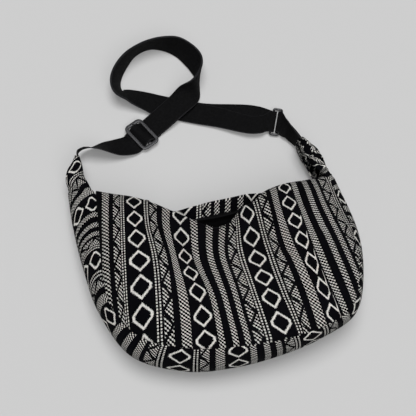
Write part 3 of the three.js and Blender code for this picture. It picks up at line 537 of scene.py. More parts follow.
def strap_rows():
    """The strap's lie, a centre and a width direction at each station: out of the left end, flat through the
    adjuster, round the loop, flat to the ring. Centres are in half widths, heights and webbing widths."""
    out = [(-0.903, 1.004, 0.579, 0.06, 0.465, -0.883), (-0.874, 1.030, 0.545, 0.06, 0.465, -0.883),
           (-0.834, 1.039, 0.513, 0.06, 0.480, -0.870), (-0.775, 1.037, 0.455, 0.00, 0.580, -0.810),
           (-0.692, 1.042, 0.330, -0.10, 0.82, -0.56), (-0.610, 1.045, 0.160, -0.35, 0.90, -0.22)]
    far = [(-0.205, 1.243, 0.190, -0.62, 0.78, 0.02), (-0.108, 1.306, 0.235, -0.68, 0.73, 0.06),
           (-0.038, 1.354, 0.320, -0.72, 0.54, 0.32), (0.040, 1.418, 0.490, -0.22, 0.06, 0.96),
           (0.079, 1.500, 0.520, 0.16, 0.08, 0.97), (0.072, 1.583, 0.500, 0.42, 0.22, 0.88),
           (0.034, 1.654, 0.490, 0.38, 0.35, 0.86), (-0.045, 1.728, 0.510, 0.15, 0.30, 0.94),
           (-0.142, 1.760, 0.535, 0.00, 0.00, 1.00), (-0.262, 1.770, 0.525, 0.00, -0.25, 0.96),
           (-0.370, 1.735, 0.525, 0.10, -0.20, 0.97), (-0.462, 1.665, 0.530, 0.00, 0.00, 0.99),
           (-0.530, 1.580, 0.525, -0.14, 0.05, 0.97), (-0.556, 1.500, 0.512, -0.34, -0.12, 0.91),
           (-0.535, 1.442, 0.456, -0.40, -0.50, 0.76), (-0.455, 1.418, 0.330, -0.25, -0.82, 0.47),
           (-0.335, 1.376, 0.190, -0.28, -0.93, 0.16), (-0.230, 1.335, 0.125, -0.33, -0.94, 0.03),
           (0.035, 1.250, 0.112, -0.34, -0.94, 0.00), (0.262, 1.198, 0.112, -0.33, -0.94, 0.00),
           (0.440, 1.154, 0.112, -0.35, -0.93, 0.00), (0.590, 1.113, 0.112, -0.36, -0.93, 0.00)]
    scale = np.array([HALF, HEIGHT, WEB_WIDE, 1.0, 1.0, 1.0])
    adjuster, run = np.array([-0.415 * HALF, 1.121 * HEIGHT, 0.5]), np.array([0.80, 0.60, 0.0])
    start = [(*(LEFT_TIP + [0, -6.5, 0]), 0, 0.22, -0.975), (*(LEFT_TIP + [0, 2, 0]), 0.03, 0.38, -0.92)]
    flat = [(*(adjuster + run * d), -0.60, 0.80, 0.0) for d in (-24, -12, 0, 12, 24)]
    return np.concatenate([start, out * scale, flat, far * scale])


# Places on the strap's path: the ring at its end, the adjuster on the eleventh of its 35 stations.
strap_at, path_lengths = ribbon(strap_rows())
STRAP_END = path_lengths[-1]
ADJUSTER_S = float(np.interp(10 / 34, np.linspace(0, 1, len(path_lengths)), path_lengths))

# Heights over the path: three layers of webbing, the adjuster's bars, and the eyes round the ring's bars.
H1, H2, H3 = 1.2, 3.0, 4.8
BAR_H = 7.35
EYE, EYE_LONG = 2.75, 1.95 * 2.75
EYE_H = H2 - EYE
EYE_TURN = np.linspace(np.pi / 2, -np.pi / 2, 11)

# The two layers spread before the ring: where and how wide, how far each moves aside, and the second's tilt.
FAN_AT, FAN_NEAR, FAN_FAR = 30.0, 26.0, 48.0
FAN_OUT, FAN_BACK, FAN_TILT = 7.0, 12.0, 0.20


def fan_at(s):
    """Share of the spread between the two layers, one at its widest."""
    d = STRAP_END - s
    return bell(d, FAN_AT, np.where(d < FAN_AT, FAN_NEAR, FAN_FAR))


def strap_line():
    """(along, above, aside, tilt) of the webbing: out over the adjuster's middle bar, round the loop to the
    ring, round its bar and back in a second layer to the middle bar, where the tail is sewn underneath."""
    over1, over2, under, end = BAR_H + 2.55, BAR_H + 4.55, BAR_H - 2.65, STRAP_END
    out = [(-62, H1 - 0.6), (-50, H1), (-34, H1 + 0.9), (-22, H3 - 0.9), (-15.5, H3), (-10.8, H3 + 0.1),
           (-8.9, H3 + 1.7), (-4.9, over2 - 1.5), (-2.3, over2 - 0.2), (0, over2), (2.3, over2 - 0.2),
           (4.8, over2 - 1.5), (8.7, H3 + 1.7), (10.6, H3 + 0.1), (15.5, H3), (26, H3 - 0.1),
           (38, H2 + 0.7), (52, H2)]
    back = [(52, H1), (38, H1 + 0.7), (26, H2 - 0.1), (15.5, H2), (9.4, H2 + 0.2), (7.1, H2 + 1.7),
            (4.1, over1 - 1.7), (2.5, over1 - 0.3), (0, over1), (-2.2, over1 - 0.3), (-3.5, over1 - 1.8),
            (-3.6, under + 1.7), (-2.6, under + 0.35), (-0.6, under - 0.1), (3, under - 1.3),
            (8, H1 + 0.35), (13, H1 + 0.1), (24, H1)]
    near_ring = [(12, EYE_H - EYE + 0.9), (17, H1 - 2.0), (22, H1 - 1.2), (28, H1 - 0.5), (34, H1)]
    out, back = (np.array(rows) + [ADJUSTER_S, 0.0] for rows in (out, back))
    lead = out[0] * (np.arange(14) / 14)[:, None]
    run = np.linspace(ADJUSTER_S + 52, end - 34, 93)[1:-1]
    there = [(s, H2) for s in run] + [(end - d, H2) for d in (34, 22, 12, 5)]
    s, h = np.concatenate([lead, out, there]).T
    going = np.column_stack([s, h, -FAN_OUT * fan_at(s), 0 * s])
    eye = np.column_stack([end + EYE_LONG * np.cos(EYE_TURN), EYE_H + EYE * np.sin(EYE_TURN),
                           np.linspace(-1.6, 2.0, 11), 0 * EYE_TURN])
    home = [(end - d, h) for d, h in near_ring] + [(s, H1) for s in run[::-1]]
    s, h = np.concatenate([home, back]).T
    bow = fan_at(s) * smooth((end - s - 3.0) / 9.0)
    slip = 2.0 * smooth((s - 0.62 * end) / (0.14 * end)) + FAN_BACK * bow
    coming = np.column_stack([s, h - WEB_WIDE / 2 * np.sin(FAN_TILT * bow), slip, FAN_TILT * bow])
    return np.concatenate([going, eye, [(end - 5, EYE_H - EYE, 2.0, 0.0)], coming])


def ring_tab_frames():
    """Path and line of the ring tab: from inside the right sleeve to the ring's far bar, round it and back,
    its width fanning out from the pinched edge to the bar's direction."""
    c, t, w, n = (v[0] for v in strap_at(np.array([STRAP_END])))
    bar = c + n * EYE_H + t * RING_DEEP
    start = RIGHT_TIP + np.array([2.6, -6.5, 0.0])
    edge = np.array([-0.10, 0.18, -0.97]) * 0.74
    end, chord = np.linalg.norm(bar - start), unit(bar - start)

    def at(x):
        k = np.clip(x / end, 0.0, 1.0)
        ww = edge + (w - edge) * smooth(1.2 * k - 0.2)[:, None]
        ww[:, 0] -= 0.13 * np.sin(np.pi * np.minimum(1.6 * k, 1.0))
        tt = unit(chord + (-t - chord) * smooth((k - 0.7) / 0.3)[:, None])
        cc = start + (bar - start) * k[:, None] - t * np.maximum(x - end, 0.0)[:, None]
        return cc, tt, ww, unit(np.cross(tt, ww))
    s = np.linspace(0, end - 1.5, 15)
    apart = 1.15 + (EYE - 1.15) * smooth((s - (end - 26)) / 22)
    eye = np.column_stack([end + EYE_LONG * np.cos(EYE_TURN), EYE * np.sin(EYE_TURN)])
    line = np.concatenate([np.column_stack([s, apart]), eye, np.column_stack([s, -apart])[::-1]])
    return at, np.column_stack([line, np.zeros_like(line)])


def web_section(wide, thick, flat=15, bend=3):
    """Closed section of webbing, as (aside, above): two flat faces joined by half-round edges."""
    r = thick / 2
    face = np.column_stack([np.linspace(r - wide / 2, wide / 2 - r, flat), np.full(flat, -r)])
    a = np.linspace(-np.pi / 2, np.pi / 2, bend + 2)[1:-1]
    edge = np.column_stack([wide / 2 - r + r * np.cos(a), r * np.sin(a)])
    half = np.concatenate([face, edge])
    return np.concatenate([half, -half])


def sweep_web(name, frames, line, share):
    """Webbing carried along a line of (along, above, aside, tilt): each ring is the section, set square to
    the line in the plane of the path's tangent and normal, tilted about it, its width times a share."""
    place = np.concatenate([[0], np.cumsum(np.maximum(np.hypot(*np.diff(line[:, :2], axis=0).T), 0.05))])
    fine = np.linspace(0, place[-1], int(place[-1] / 1.6))
    raw = np.stack([np.interp(fine, place, column) for column in line.T], -1)
    soft = raw.copy()
    soft[1:-1] = 0.25 * raw[:-2] + 0.5 * raw[1:-1] + 0.25 * raw[2:]
    s, h, slip, tilt = soft.T
    c, t, w, n = frames(s)
    rise = unit(np.stack([np.gradient(s), np.gradient(h)], -1))
    up = n * rise[:, :1] - t * rise[:, 1:]
    p = c + n * h[:, None] + w * slip[:, None]
    lean, stand = np.cos(tilt)[:, None], np.sin(tilt)[:, None]
    w, up = w * lean + up * stand, up * lean - w * stand
    section = web_section(WEB_WIDE, WEB_THICK)
    wide, high = section[:, :1] * share(s)[:, None, None], section[:, 1:]
    rings = p[:, None] + w[:, None] * wide + up[:, None] * high
    cloth = cloth_map(*np.meshgrid(np.append(section[:, 0], section[0, 0]), fine))
    return surface(name, rings, cloth, round_cols=True, closed=True)


def carried(path, section, up, round_path=False):
    """Profile carried along a path that lies in a plane: each ring is the section's first number along the
    plane's in-plane normal and its second along the plane's own normal."""
    step = np.roll(path, -1, 0) - np.roll(path, 1, 0)
    if not round_path:
        step[0], step[-1] = path[1] - path[0], path[-1] - path[-2]
    side = unit(np.cross(unit(step), up))
    points = path[:, None] + side[:, None] * section[:, :1] + up * section[:, 1:]
    return patch(points, round_rows=round_path, round_cols=True, closed=not round_path, flip=True)


def oval(a, b, power, sides):
    """Closed section |x/a|^(2/power) + |y/b|^(2/power) = 1, as points."""
    t = np.linspace(0, 2 * np.pi, sides, endpoint=False)
    return np.column_stack([a * bent(np.cos(t), power), b * bent(np.sin(t), power)])


def rounded_loop(hx, hy, r, corner=8, straight=6):
    """Plan of a rectangle with round corners: quarter circles joined by straight sides."""
    arcs = []
    for q, (sx, sy) in enumerate(((1, 1), (-1, 1), (-1, -1), (1, -1))):
        a = np.linspace(0, np.pi / 2, corner) + q * np.pi / 2
        arcs.append(np.column_stack([sx * (hx - r) + r * np.cos(a), sy * (hy - r) + r * np.sin(a)]))
    k = np.linspace(0, 1, straight + 2)[1:-1, None]
    sides = [a[-1] + (b[0] - a[-1]) * k for a, b in zip(arcs, arcs[1:] + arcs[:1])]
    return np.concatenate([part for pair in zip(arcs, sides) for part in pair])


def block(centre, axes, half, power=0.4, rows=14, cols=28):
    """Rounded block: a superellipsoid of half sizes along three axes, its corners softened by a power."""
    f = np.linspace(-np.pi / 2, np.pi / 2, rows + 2)[1:-1][:, None]
    t = np.linspace(0, 2 * np.pi, cols, endpoint=False)
    ring, high = bent(np.cos(f), power), bent(np.sin(f), power) + 0 * t
    local = np.stack([ring * bent(np.cos(t), power), ring * bent(np.sin(t), power), high], -1) * half
    return patch(centre + local @ axes, round_cols=True, closed=True)


# The adjuster's frame and the ring: half length along the strap, half width, corner, and their sections.
FRAME_LOOP, FRAME_SECTION = (13.3, 23.6, 5.6), (2.7, 1.5, 0.45, 24)
FRAME_LEAN, FRAME_BAR = 0.085, 23.0
RING_DEEP = 12.5
RING_LOOP, RING_SECTION = (RING_DEEP / 2, 23.35, 2.4), (1.75, 1.75, 1.0, 16)


def on_strap(s, above):
    """Origin and axes (along, across, up) of a metal part on the strap's path."""
    c, t, _, n = (v[0] for v in strap_at(np.array([s])))
    up = -n if n[2] < 0 else n
    return c + n * above, t, unit(np.cross(up, t)), up


def adjuster_patches():
    """Adjuster: a frame with round corners and one bar across its middle, leaning in the strap's plane."""
    o, t, across, up = on_strap(ADJUSTER_S, BAR_H)
    ax = np.cos(FRAME_LEAN) * t - np.sin(FRAME_LEAN) * across
    ay = np.sin(FRAME_LEAN) * t + np.cos(FRAME_LEAN) * across
    loop, section = rounded_loop(*FRAME_LOOP), oval(*FRAME_SECTION)
    bar = np.linspace(-FRAME_BAR, FRAME_BAR, 24)[:, None]
    return [carried(o + loop @ [ax, ay], section, up, True), carried(o + bar * ay, section, up)]


def ring_patches():
    """Ring: round wire bent to a long loop, its near bar at the strap's end."""
    o, ax, ay, up = on_strap(STRAP_END, EYE_H)
    loop = rounded_loop(*RING_LOOP) + [RING_DEEP / 2, 0.0]
    return [carried(o + loop @ [ax, ay], oval(*RING_SECTION), up, True)]


# The zip: direction, side and up of its closed stretch and the slider's place on it, by the two joints, and
# the places along the mouth where the tapes start, where they part and where they end.
JOINTS = {joint["name"]: joint for joint in frame["joints"]}
ZIP_RUN, ZIP_SIDE = (np.array(JOINTS[name]["axis"]) for name in ("zip_slide", "zip_pull_turn"))
ZIP_UP = np.cross(ZIP_RUN, ZIP_SIDE)
ZIP_AXES = np.stack([ZIP_RUN, ZIP_SIDE, ZIP_UP])
PIN_HIGH = 3.8
SLIDER_AT = np.array(JOINTS["zip_pull_turn"]["pos_m"]) / MM - PIN_HIGH * ZIP_UP
ZIP_FROM, ZIP_SHUT, ZIP_TO, ZIP_PARTS = 0.05, 0.255, 0.93, 0.07
ZIP_LENGTH, SLIDER_BACK = 68.5, 9.0
TOOTH, TOOTH_PITCH, LANE = 2.0, 2.1, 1.8

# Rows of the solids' panels beside the mouth, as shares of the skin, and depths under the cloth's face.
FRONT_ROW, BACK_ROW = 1 / 10, 1 / 9
TAPE_DEEP, LIP_DEEP = 3.3, 2.45
LINING_DEEP, LINING_RIM, LINING_FOLD = 3.2, 1.1, 1.1


def inside_lip(side, u, depth, down):
    """Points inside a mouth edge: a depth under the cloth's face and a share of one row of the solid below
    the edge. side is -1 for the front and 1 for the back."""
    skin, row = (front_skin, FRONT_ROW) if side < 0 else (back_skin, BACK_ROW)
    v = np.broadcast_to(down * row, u.shape)
    n = skin_normal(skin, u, np.maximum(v, 0.015))
    n *= -side * np.sign(n[..., 2:3])
    return skin(u, v) - n * np.broadcast_to(depth, u.shape)[..., None]


def tape_edge(side, u):
    """Free edge of a zip tape, its way into the mouth and the root that it leaves the facing at. Done up it
    lies along the closed stretch, beyond it hangs from the lower side of the facing."""
    opened = smooth((u - ZIP_SHUT) / ZIP_PARTS)
    root = inside_lip(side, u, TAPE_DEEP, 0.06 + 0.49 * opened)
    reach = inside_lip(-side, u, LIP_DEEP, 0.0) - root
    far = np.linalg.norm(reach, axis=-1)
    done_up = SLIDER_BACK + ZIP_LENGTH * ((u - ZIP_FROM) / (ZIP_SHUT - ZIP_FROM) - 1)
    shut = SLIDER_AT + done_up[:, None] * ZIP_RUN + ZIP_SIDE * side * (LANE / 2 + TOOTH)
    free = root + unit(reach) * np.minimum(6.0, 0.3 * far)[:, None]
    into = unit(mix(-side * ZIP_SIDE, unit(reach), opened))
    return mix(shut, free, opened), into, root


def zip_tape(side):
    """Tape: sewn part inside the facing, root, free edge and a lip under the teeth, as rows of one sheet."""
    u = np.linspace(ZIP_FROM, ZIP_TO, 300)
    edge, into, root = tape_edge(side, u)
    low = inside_lip(side, u, TAPE_DEEP, 0.88)
    free = [root + (edge - root) * k for k in np.linspace(0, 1, 5)]
    return np.stack([low, (low + root) / 2, *free, edge + into * 0.9], 1)


def zip_teeth(side):
    """Teeth: small six-sided blocks at an even pitch on the free edge, thicker at their heads."""
    u = np.linspace(ZIP_FROM, ZIP_TO, 1200)
    s = lengths(tape_edge(side, u)[0], 0)
    edge, into, _ = tape_edge(side, np.interp(np.arange(1.0, s[-1] - 1.0, TOOTH_PITCH), s, u))
    run = unit(np.gradient(edge, axis=0))
    into = unit(into - run * np.sum(into * run, -1, keepdims=True))
    up = np.cross(run, into)
    ring = np.array([(-0.55, -0.55), (0.55, -0.55), (0.72, 0.0), (0.55, 0.55), (-0.55, 0.55), (-0.72, 0.0)])
    foot, head = np.insert(ring, 1, 0.1, 1), np.insert(ring * [0.8, 1.5], 1, TOOTH, 1)
    points = edge[:, None, None] + np.stack([foot, head]) @ np.stack([run, into, up], 1)[:, None]
    return [patch(tooth, round_cols=True, closed=True, flip=True) for tooth in points]


def facing_points(side):
    """Facing: a band of cloth inside a mouth edge. Where the zip is done up it lies over the tape."""
    u, k = np.meshgrid(np.linspace(0.03, 0.97, 320), np.linspace(0, 1, 12))
    shut = 1 - smooth((u - ZIP_SHUT - 0.02) / ZIP_PARTS)
    return inside_lip(side, u, 2.15 + 2.2 * shut, (0.02 + 0.20 * shut) + (0.54 - 0.15 * shut) * k)


def lining_points():
    """Lining: one bag of thin cloth, down the front, across the gusset and up the back, inside the outer
    cloth, drawn further in at its rim and by loose folds."""
    u = np.linspace(0.03, 0.97, 260)
    rows = [(front_skin, np.linspace(0.080, 0.97, 40)), (gusset_skin, np.linspace(0.05, 0.95, 20)),
            (back_skin, np.linspace(0.97, 0.092, 40))]
    p = np.concatenate([skin(*np.meshgrid(u, places)) for skin, places in rows])
    out = -normals(p) if looks_away(p, p - MIDDLE) else normals(p)
    for _ in range(2):
        out[1:-1] = unit(out[:-2] + 2 * out[1:-1] + out[2:])
    girth = lengths(p, 0)
    left = girth[-1:] - girth
    folds = 1 + ripple(lengths(p, 1), 46.0, 0.4, 0.012 * girth)
    loose = LINING_FOLD * smooth(girth / 40.0) * smooth(left / 40.0) * folds
    rim = LINING_RIM * (1 - smooth(girth / 9.0) * smooth(left / 9.0))
    return p - out * (LINING_DEEP + rim + loose)[..., None]


def on_slider(x, y, z):
    """Point given along the zip, aside and up from the middle of the slider."""
    return SLIDER_AT + np.array([x, y, z]) @ ZIP_AXES


def slider_patches():
    """Slider: two plates, the web between them and an arch on top for the pull."""
    a = np.linspace(np.pi, np.pi / 2, 7)
    corner = np.column_stack([-1.55 + 1.2 * np.cos(a), 4.2 + 1.2 * np.sin(a)])
    left = np.concatenate([[[-2.75, 2.3], [-2.75, 3.2]], corner])
    arch = np.concatenate([left, left[::-1] * [-1.0, 1.0]]) @ [ZIP_RUN, ZIP_UP]
    plates = [block(on_slider(0, 0, z), ZIP_AXES, (6.0, 3.7, 0.6), 0.45) for z in (2.1, -2.1)]
    web = block(on_slider(0.6, 0, 0), ZIP_AXES, (4.5, 0.5, 1.7), 0.4, 10, 16)
    return plates + [web, carried(SLIDER_AT + arch, oval(0.62, 0.8, 0.6, 12), ZIP_SIDE)]


def pull_patches():
    """Pull: a wire loop through the arch and a flat tab with three ribs."""
    loop = (rounded_loop(2.95, 2.7, 1.1, 6, 3) - [2.95, 0.0]) @ [ZIP_RUN, ZIP_SIDE]
    wire = carried(on_slider(0, 0, PIN_HIGH) + loop, oval(0.6, 0.6, 1.0, 12), ZIP_UP, True)
    tab = block(on_slider(-13.6, 0, PIN_HIGH), ZIP_AXES, (8.4, 3.5, 0.6), 0.32, 16, 40)
    places = [on_slider(-14.4, y, PIN_HIGH) for y in (-1.7, 0.0, 1.7)]
    return [wire, tab] + [block(place, ZIP_AXES, (5.4, 0.4, 0.78), 0.5, 8, 16) for place in places]


class Wiring:
    """Short hand for nodes in one tree: each call adds a node and returns its output socket."""

    def __init__(self, tree):
        self.nodes, self.links = tree.nodes, tree.links

    def plug(self, value, socket):
        """Links a socket to another, or sets its value."""
        if isinstance(value, bpy.types.NodeSocket):
            self.links.new(value, socket)
        else:
            socket.default_value = value

    def fill(self, node, **values):
        """Values or links for a node's inputs, blanks in their names written as underscores."""
        for name, value in values.items():
            self.plug(value, node.inputs[name.replace("_", " ")])
        return node

    def node(self, kind, **values):
        return self.fill(self.nodes.new("ShaderNode" + kind), **values)

    def maths(self, operation, *values):
        node = self.node("Math")
        node.operation = operation
        for value, socket in zip(values, node.inputs):
            self.plug(value, socket)
        return node.outputs[0]

    add = partialmethod(maths, "ADD")
    sub = partialmethod(maths, "SUBTRACT")
    times = partialmethod(maths, "MULTIPLY")
    share = partialmethod(maths, "DIVIDE")
    over = partialmethod(maths, "GREATER_THAN")
    under = partialmethod(maths, "LESS_THAN")
    there_and_back = partialmethod(maths, "PINGPONG")

    def apart(self, a, b):
        return self.maths("ABSOLUTE", self.sub(a, b))

    def sine(self, x, length):
        return self.maths("SINE", self.times(x, 2 * np.pi / length))

    def place(self, x, y):
        return self.node("CombineXYZ", X=x, Y=y).outputs[0]

    def here(self):
        return self.node("TexCoord").outputs["Object"]

    def noise(self, vector, scale, detail=2.0, rough=0.5):
        values = {"Scale": scale, "Detail": detail, "Roughness": rough}
        return self.node("TexNoise", Vector=vector, **values).outputs["Fac"]

    def colour_mix(self, factor, a, b):
        node = self.node("Mix")
        node.data_type = "RGBA"
        for value, socket in ((factor, 0), (a, 6), (b, 7)):
            self.plug(value, node.inputs[socket])
        return node.outputs[2]

    def spread(self, value, low, high, to_low=0.0, to_high=1.0):
        values = {"From_Min": low, "From_Max": high, "To_Min": to_low, "To_Max": to_high}
        return self.node("MapRange", Value=value, **values).outputs["Result"]

    def bump(self, height, strength, distance):
        return self.node("Bump", Height=height, Strength=strength, Distance=distance).outputs["Normal"]


# Columns of the cloth over one repeat: start in millimetres and kind, each kind a channel of a colour ramp.
COLUMNS = [
    (0, "zigzag"), (11.5, "dots"), (21, "plain"), (55, "dots"), (64.5, "zigzag"), (76, "plain"),
    (85, "check"), (97, "plain"), (131.3, "check"), (139.7, "plain"), (150, "check"), (158.8, "plain"),
    (167, "check"), (174.8, "plain"),
]
KINDS = {"plain": (0, 0, 0, 1), "zigzag": (1, 0, 0, 1), "check": (0, 1, 0, 1), "dots": (0, 0, 1, 1)}

# Sizes of the weave in millimetres: twill, zigzag bar, files of dots, steps and half sizes of the lozenges.
CHEQUER = 5.2
SWING, BAR, SECOND_ZIGZAG = 11.5, 2.0, 64.5
DOTS_OFF, DOTS_APART, DOT_WIDE, DOT_PITCH, DOT_LONG = 20.9, 2.25, 1.0, 1.9, 1.15
STEP_ACROSS, STEP_ALONG = 0.9, 1.2
LOZENGE_WIDE, LOZENGE_LONG, LOZENGE_BLUNT, LOZENGE_INSIDE = 16.2, 15.8, 13.2, 0.76


def column_kinds(w, p):
    """Three sockets that are one in the zigzag, check and dots columns at a place in the repeat."""
    ramp = w.node("ValToRGB", Fac=w.share(p, REPEAT))
    ramp.color_ramp.interpolation = "CONSTANT"
    stops = ramp.color_ramp.elements
    stops.remove(stops[1])
    stops[0].position, stops[0].color = 0.0, KINDS[COLUMNS[0][1]]
    for start, kind in COLUMNS[1:]:
        stops.new(start / REPEAT).color = KINDS[kind]
    return w.node("SeparateColor", Color=ramp.outputs[0]).outputs


def jacquard_group():
    """Woven pattern from cloth millimetres across and along: share of light thread and relief."""
    tree = bpy.data.node_groups.new("jacquard_weave", "ShaderNodeTree")
    for way, labels in (("INPUT", ("Across", "Along")), ("OUTPUT", ("Light Thread", "Relief"))):
        for label in labels:
            tree.interface.new_socket(label, in_out=way, socket_type="NodeSocketFloat")
    w = Wiring(tree)
    given = tree.nodes.new("NodeGroupInput").outputs
    across, along = given["Across"], given["Along"]
    shake = w.sub(w.noise(w.place(across, along), 0.35), 0.5)
    p = w.maths("FLOORED_MODULO", w.add(across, w.times(shake, 0.9)), REPEAT)
    q = w.add(along, w.times(shake, 1.6))
    zig, check, dots = column_kinds(w, p)
    # Ground of the grey stripes: a twill of light and dark threads, crossed by a weaker one the other way.
    a, b = w.times(p, 2 * np.pi / CHEQUER), w.times(q, 2 * np.pi / CHEQUER)
    crossed = w.times(0.6, w.maths("COSINE", w.add(a, b)))
    twill = w.over(w.sub(w.maths("COSINE", w.sub(a, b)), crossed), 0.36)
    # Zigzag: a dark bar swings from side to side of its stripe once each pitch.
    swing = w.times(w.there_and_back(q, PITCH / 2), SWING / (PITCH / 2))
    second = w.times(w.over(p, FIRST_FILE), SECOND_ZIGZAG)
    bar = w.under(w.apart(w.sub(p, second), swing), BAR)
    zigzag = w.times(w.times(zig, twill), w.sub(1.0, bar))
    # Dots: two files of square dots on each side of a large lozenge stripe.
    file = w.apart(w.apart(w.apart(p, FIRST_FILE), DOTS_OFF), DOTS_APART)
    square = w.times(w.under(file, DOT_WIDE), w.under(w.there_and_back(q, DOT_PITCH), DOT_LONG))
    # Lozenges: outline between two sizes of one blunt rhombus, stepped thread by thread and frayed.
    stepped = w.maths("SNAP", p, STEP_ACROSS)
    rise = w.share(w.there_and_back(w.maths("SNAP", q, STEP_ALONG), PITCH / 2), LOZENGE_LONG)
    streaks = w.noise(w.place(w.times(across, 1.3), w.times(along, 0.45)), 1.0, 1.0)
    fray = w.times(w.sub(streaks, 0.5), 0.22)
    light = w.times(w.add(w.add(w.times(check, twill), zigzag), w.times(dots, square)), 0.92)
    for file in (FIRST_FILE, SECOND_FILE):
        dx = w.apart(stepped, file)
        size = w.maths("MAXIMUM", w.add(w.share(dx, LOZENGE_WIDE), rise), w.share(dx, LOZENGE_BLUNT))
        size = w.add(size, fray)
        light = w.add(light, w.times(w.over(size, LOZENGE_INSIDE), w.under(size, 1.0)))
    light = w.maths("MINIMUM", light, 1.0)
    thread = w.add(0.5, w.times(0.5, w.times(w.sine(across, 0.9), w.sine(along, 1.1))))
    out = tree.nodes.new("NodeGroupOutput").inputs
    w.plug(light, out["Light Thread"])
    w.plug(w.add(w.times(light, 0.7), w.times(thread, 0.3)), out["Relief"])
    return tree


def new_material(name):
    """New material: its wiring and its Principled shader."""
    m = bpy.data.materials.new(name)
    m.use_nodes = True
    return Wiring(m.node_tree), m.node_tree.nodes["Principled BSDF"]


def shade(colour, k=1.0):
    """Colour times a number, as the nodes take it."""
    return (*(k * v for v in colour), 1.0)


def cloth_place(w):
    """Cloth coordinates in millimetres from the piece's own UV map."""
    uv = w.node("UVMap")
    uv.uv_map = "Cloth"
    parts = w.node("SeparateXYZ", Vector=uv.outputs[0]).outputs
    return w.times(parts[0], 1 / MM), w.times(parts[1], 1 / MM)


def jacquard_material(name, light, dark):
    """Jacquard cloth: dark ground, light threads where the weave group says, worn and shaded by noise."""
    w, shader = new_material(name)
    weave = w.node("Group")
    weave.node_tree = jacquard_group()
    for value, socket in zip(cloth_place(w), weave.inputs):
        w.plug(value, socket)
    here = w.here()
    fade, wash = w.noise(here, 420.0, 3.0, 0.6), w.noise(here, 22.0)
    pale = w.colour_mix(w.spread(fade, 0.3, 0.75), shade(light, 0.72), shade(light))
    ground = w.colour_mix(w.spread(wash, 0.3, 0.7), shade(dark), shade(dark, 1.7))
    w.fill(shader, Base_Color=w.colour_mix(weave.outputs["Light Thread"], ground, pale),
           Roughness=w.spread(fade, 0.2, 0.8, 0.95, 0.82), Specular_IOR_Level=0.03,
           Normal=w.bump(weave.outputs["Relief"], 0.5, 0.0006))


def webbing_material(name, dark):
    """Black webbing: ribs along its length, a fine cross weave, a little lint, and its half-round edges
    coloured paler as a painted highlight.
    """
    w, shader = new_material(name)
    across, along = cloth_place(w)
    lint = w.noise(w.here(), 350.0, 3.0, 0.6)
    face = w.colour_mix(w.spread(lint, 0.35, 0.8), shade(dark), shade(dark, 2.2))
    # Painted highlight: the half-round edges take a colour eight times the face's, standing in for their lit
    # rims.
    edge = w.spread(w.maths("ABSOLUTE", across), 0.47 * WEB_WIDE, 0.49 * WEB_WIDE)
    weave = w.add(w.times(w.sine(across, 1.9), 0.6), w.times(w.sine(along, 1.5), 0.4))
    w.fill(shader, Base_Color=w.colour_mix(edge, face, shade(dark, 8.0)), Specular_IOR_Level=0.06,
           Roughness=w.spread(lint, 0.2, 0.8, 0.8, 0.65), Normal=w.bump(weave, 0.5, 0.0005))


def plain_material(name, dark):
    """Plain black cloth or nylon with a fine grain."""
    w, shader = new_material(name)
    lint = w.noise(w.here(), 600.0, 3.0, 0.6)
    w.fill(shader, Base_Color=w.colour_mix(lint, shade(dark), shade(dark, 1.8)), Roughness=0.9,
           Specular_IOR_Level=0.03, Normal=w.bump(lint, 0.4, 0.0004))


def gunmetal_material(name, colour):
    """Dark metal with fingerprints in its roughness and a fine grain."""
    w, shader = new_material(name)
    here = w.here()
    smear = w.noise(here, 90.0, 4.0, 0.6)
    w.fill(shader, Base_Color=w.colour_mix(smear, shade(colour, 0.75), shade(colour)), Metallic=1.0,
           Roughness=w.spread(smear, 0.3, 0.7, 0.36, 0.50), Normal=w.bump(w.noise(here, 900.0), 0.12, 0.0002))


def floor_material(name, colour, glow):
    """Matt paper. Seen by the camera, in a mirror or through glass, a share of its light is its own, so that
    wide shadows stay faint."""
    w, shader = new_material(name)
    w.fill(shader, Base_Color=shade(colour), Roughness=1.0, Specular_IOR_Level=0.0)
    own = w.node("Emission", Color=shade(colour))
    path = w.node("LightPath").outputs
    seen = w.add(path["Is Camera Ray"], w.add(path["Is Glossy Ray"], path["Is Transmission Ray"]))
    blend = w.node("MixShader", Fac=w.times(seen, glow))
    w.plug(shader.outputs[0], blend.inputs[1])
    w.plug(own.outputs[0], blend.inputs[2])
    w.fill(w.nodes["Material Output"], Surface=blend.outputs[0])


def colour_setting(name, description, default):
    """Setting that holds a colour."""
    return FloatVectorProperty(name=name, description=description, subtype="COLOR", min=0.0, max=1.0,
                               default=default)


class BagClothSettings(bpy.types.PropertyGroup):
    """Cloth of the bag."""
    light_thread: colour_setting("Light thread", "Off-white threads of the pattern", (0.80, 0.785, 0.745))
    dark_thread: colour_setting("Dark thread", "Black threads of the ground", (0.0016, 0.0016, 0.0023))
    cloth_thickness: FloatProperty(name="Cloth thickness", description="Thickness of the jacquard cloth",
                                   subtype="DISTANCE", unit="LENGTH", default=CLOTH * MM)


class BagTrimSettings(bpy.types.PropertyGroup):
    """Webbing, lining, zip and metal."""
    webbing: colour_setting("Webbing", "Strap webbing and zip", (0.0032, 0.0032, 0.0035))
    lining: colour_setting("Lining", "Lining cloth", (0.0018, 0.0018, 0.002))
    gunmetal: colour_setting("Gunmetal", "Metal parts", (0.085, 0.085, 0.089))


class BagStageSettings(bpy.types.PropertyGroup):
    """Floor, light and camera."""
    floor: colour_setting("Floor", "Paper of the floor", (0.617, 0.617, 0.617))
    paper_glow: FloatProperty(name="Paper glow", description="Share of its brightness that shadows leave",
                              subtype="FACTOR", min=0.0, max=1.0, default=0.20)
    sky: FloatProperty(name="Sky", description="Light from all sides", min=0.0, default=0.10)
    key: FloatProperty(name="Key light", description="Lamp overhead", min=0.0, default=2.12)
    fill: FloatProperty(name="Fill light", description="Lamp on the camera's side", min=0.0, default=0.95)
    lens: FloatProperty(name="Lens", description="Focal length of the camera", subtype="DISTANCE_CAMERA",
                        default=85.0)


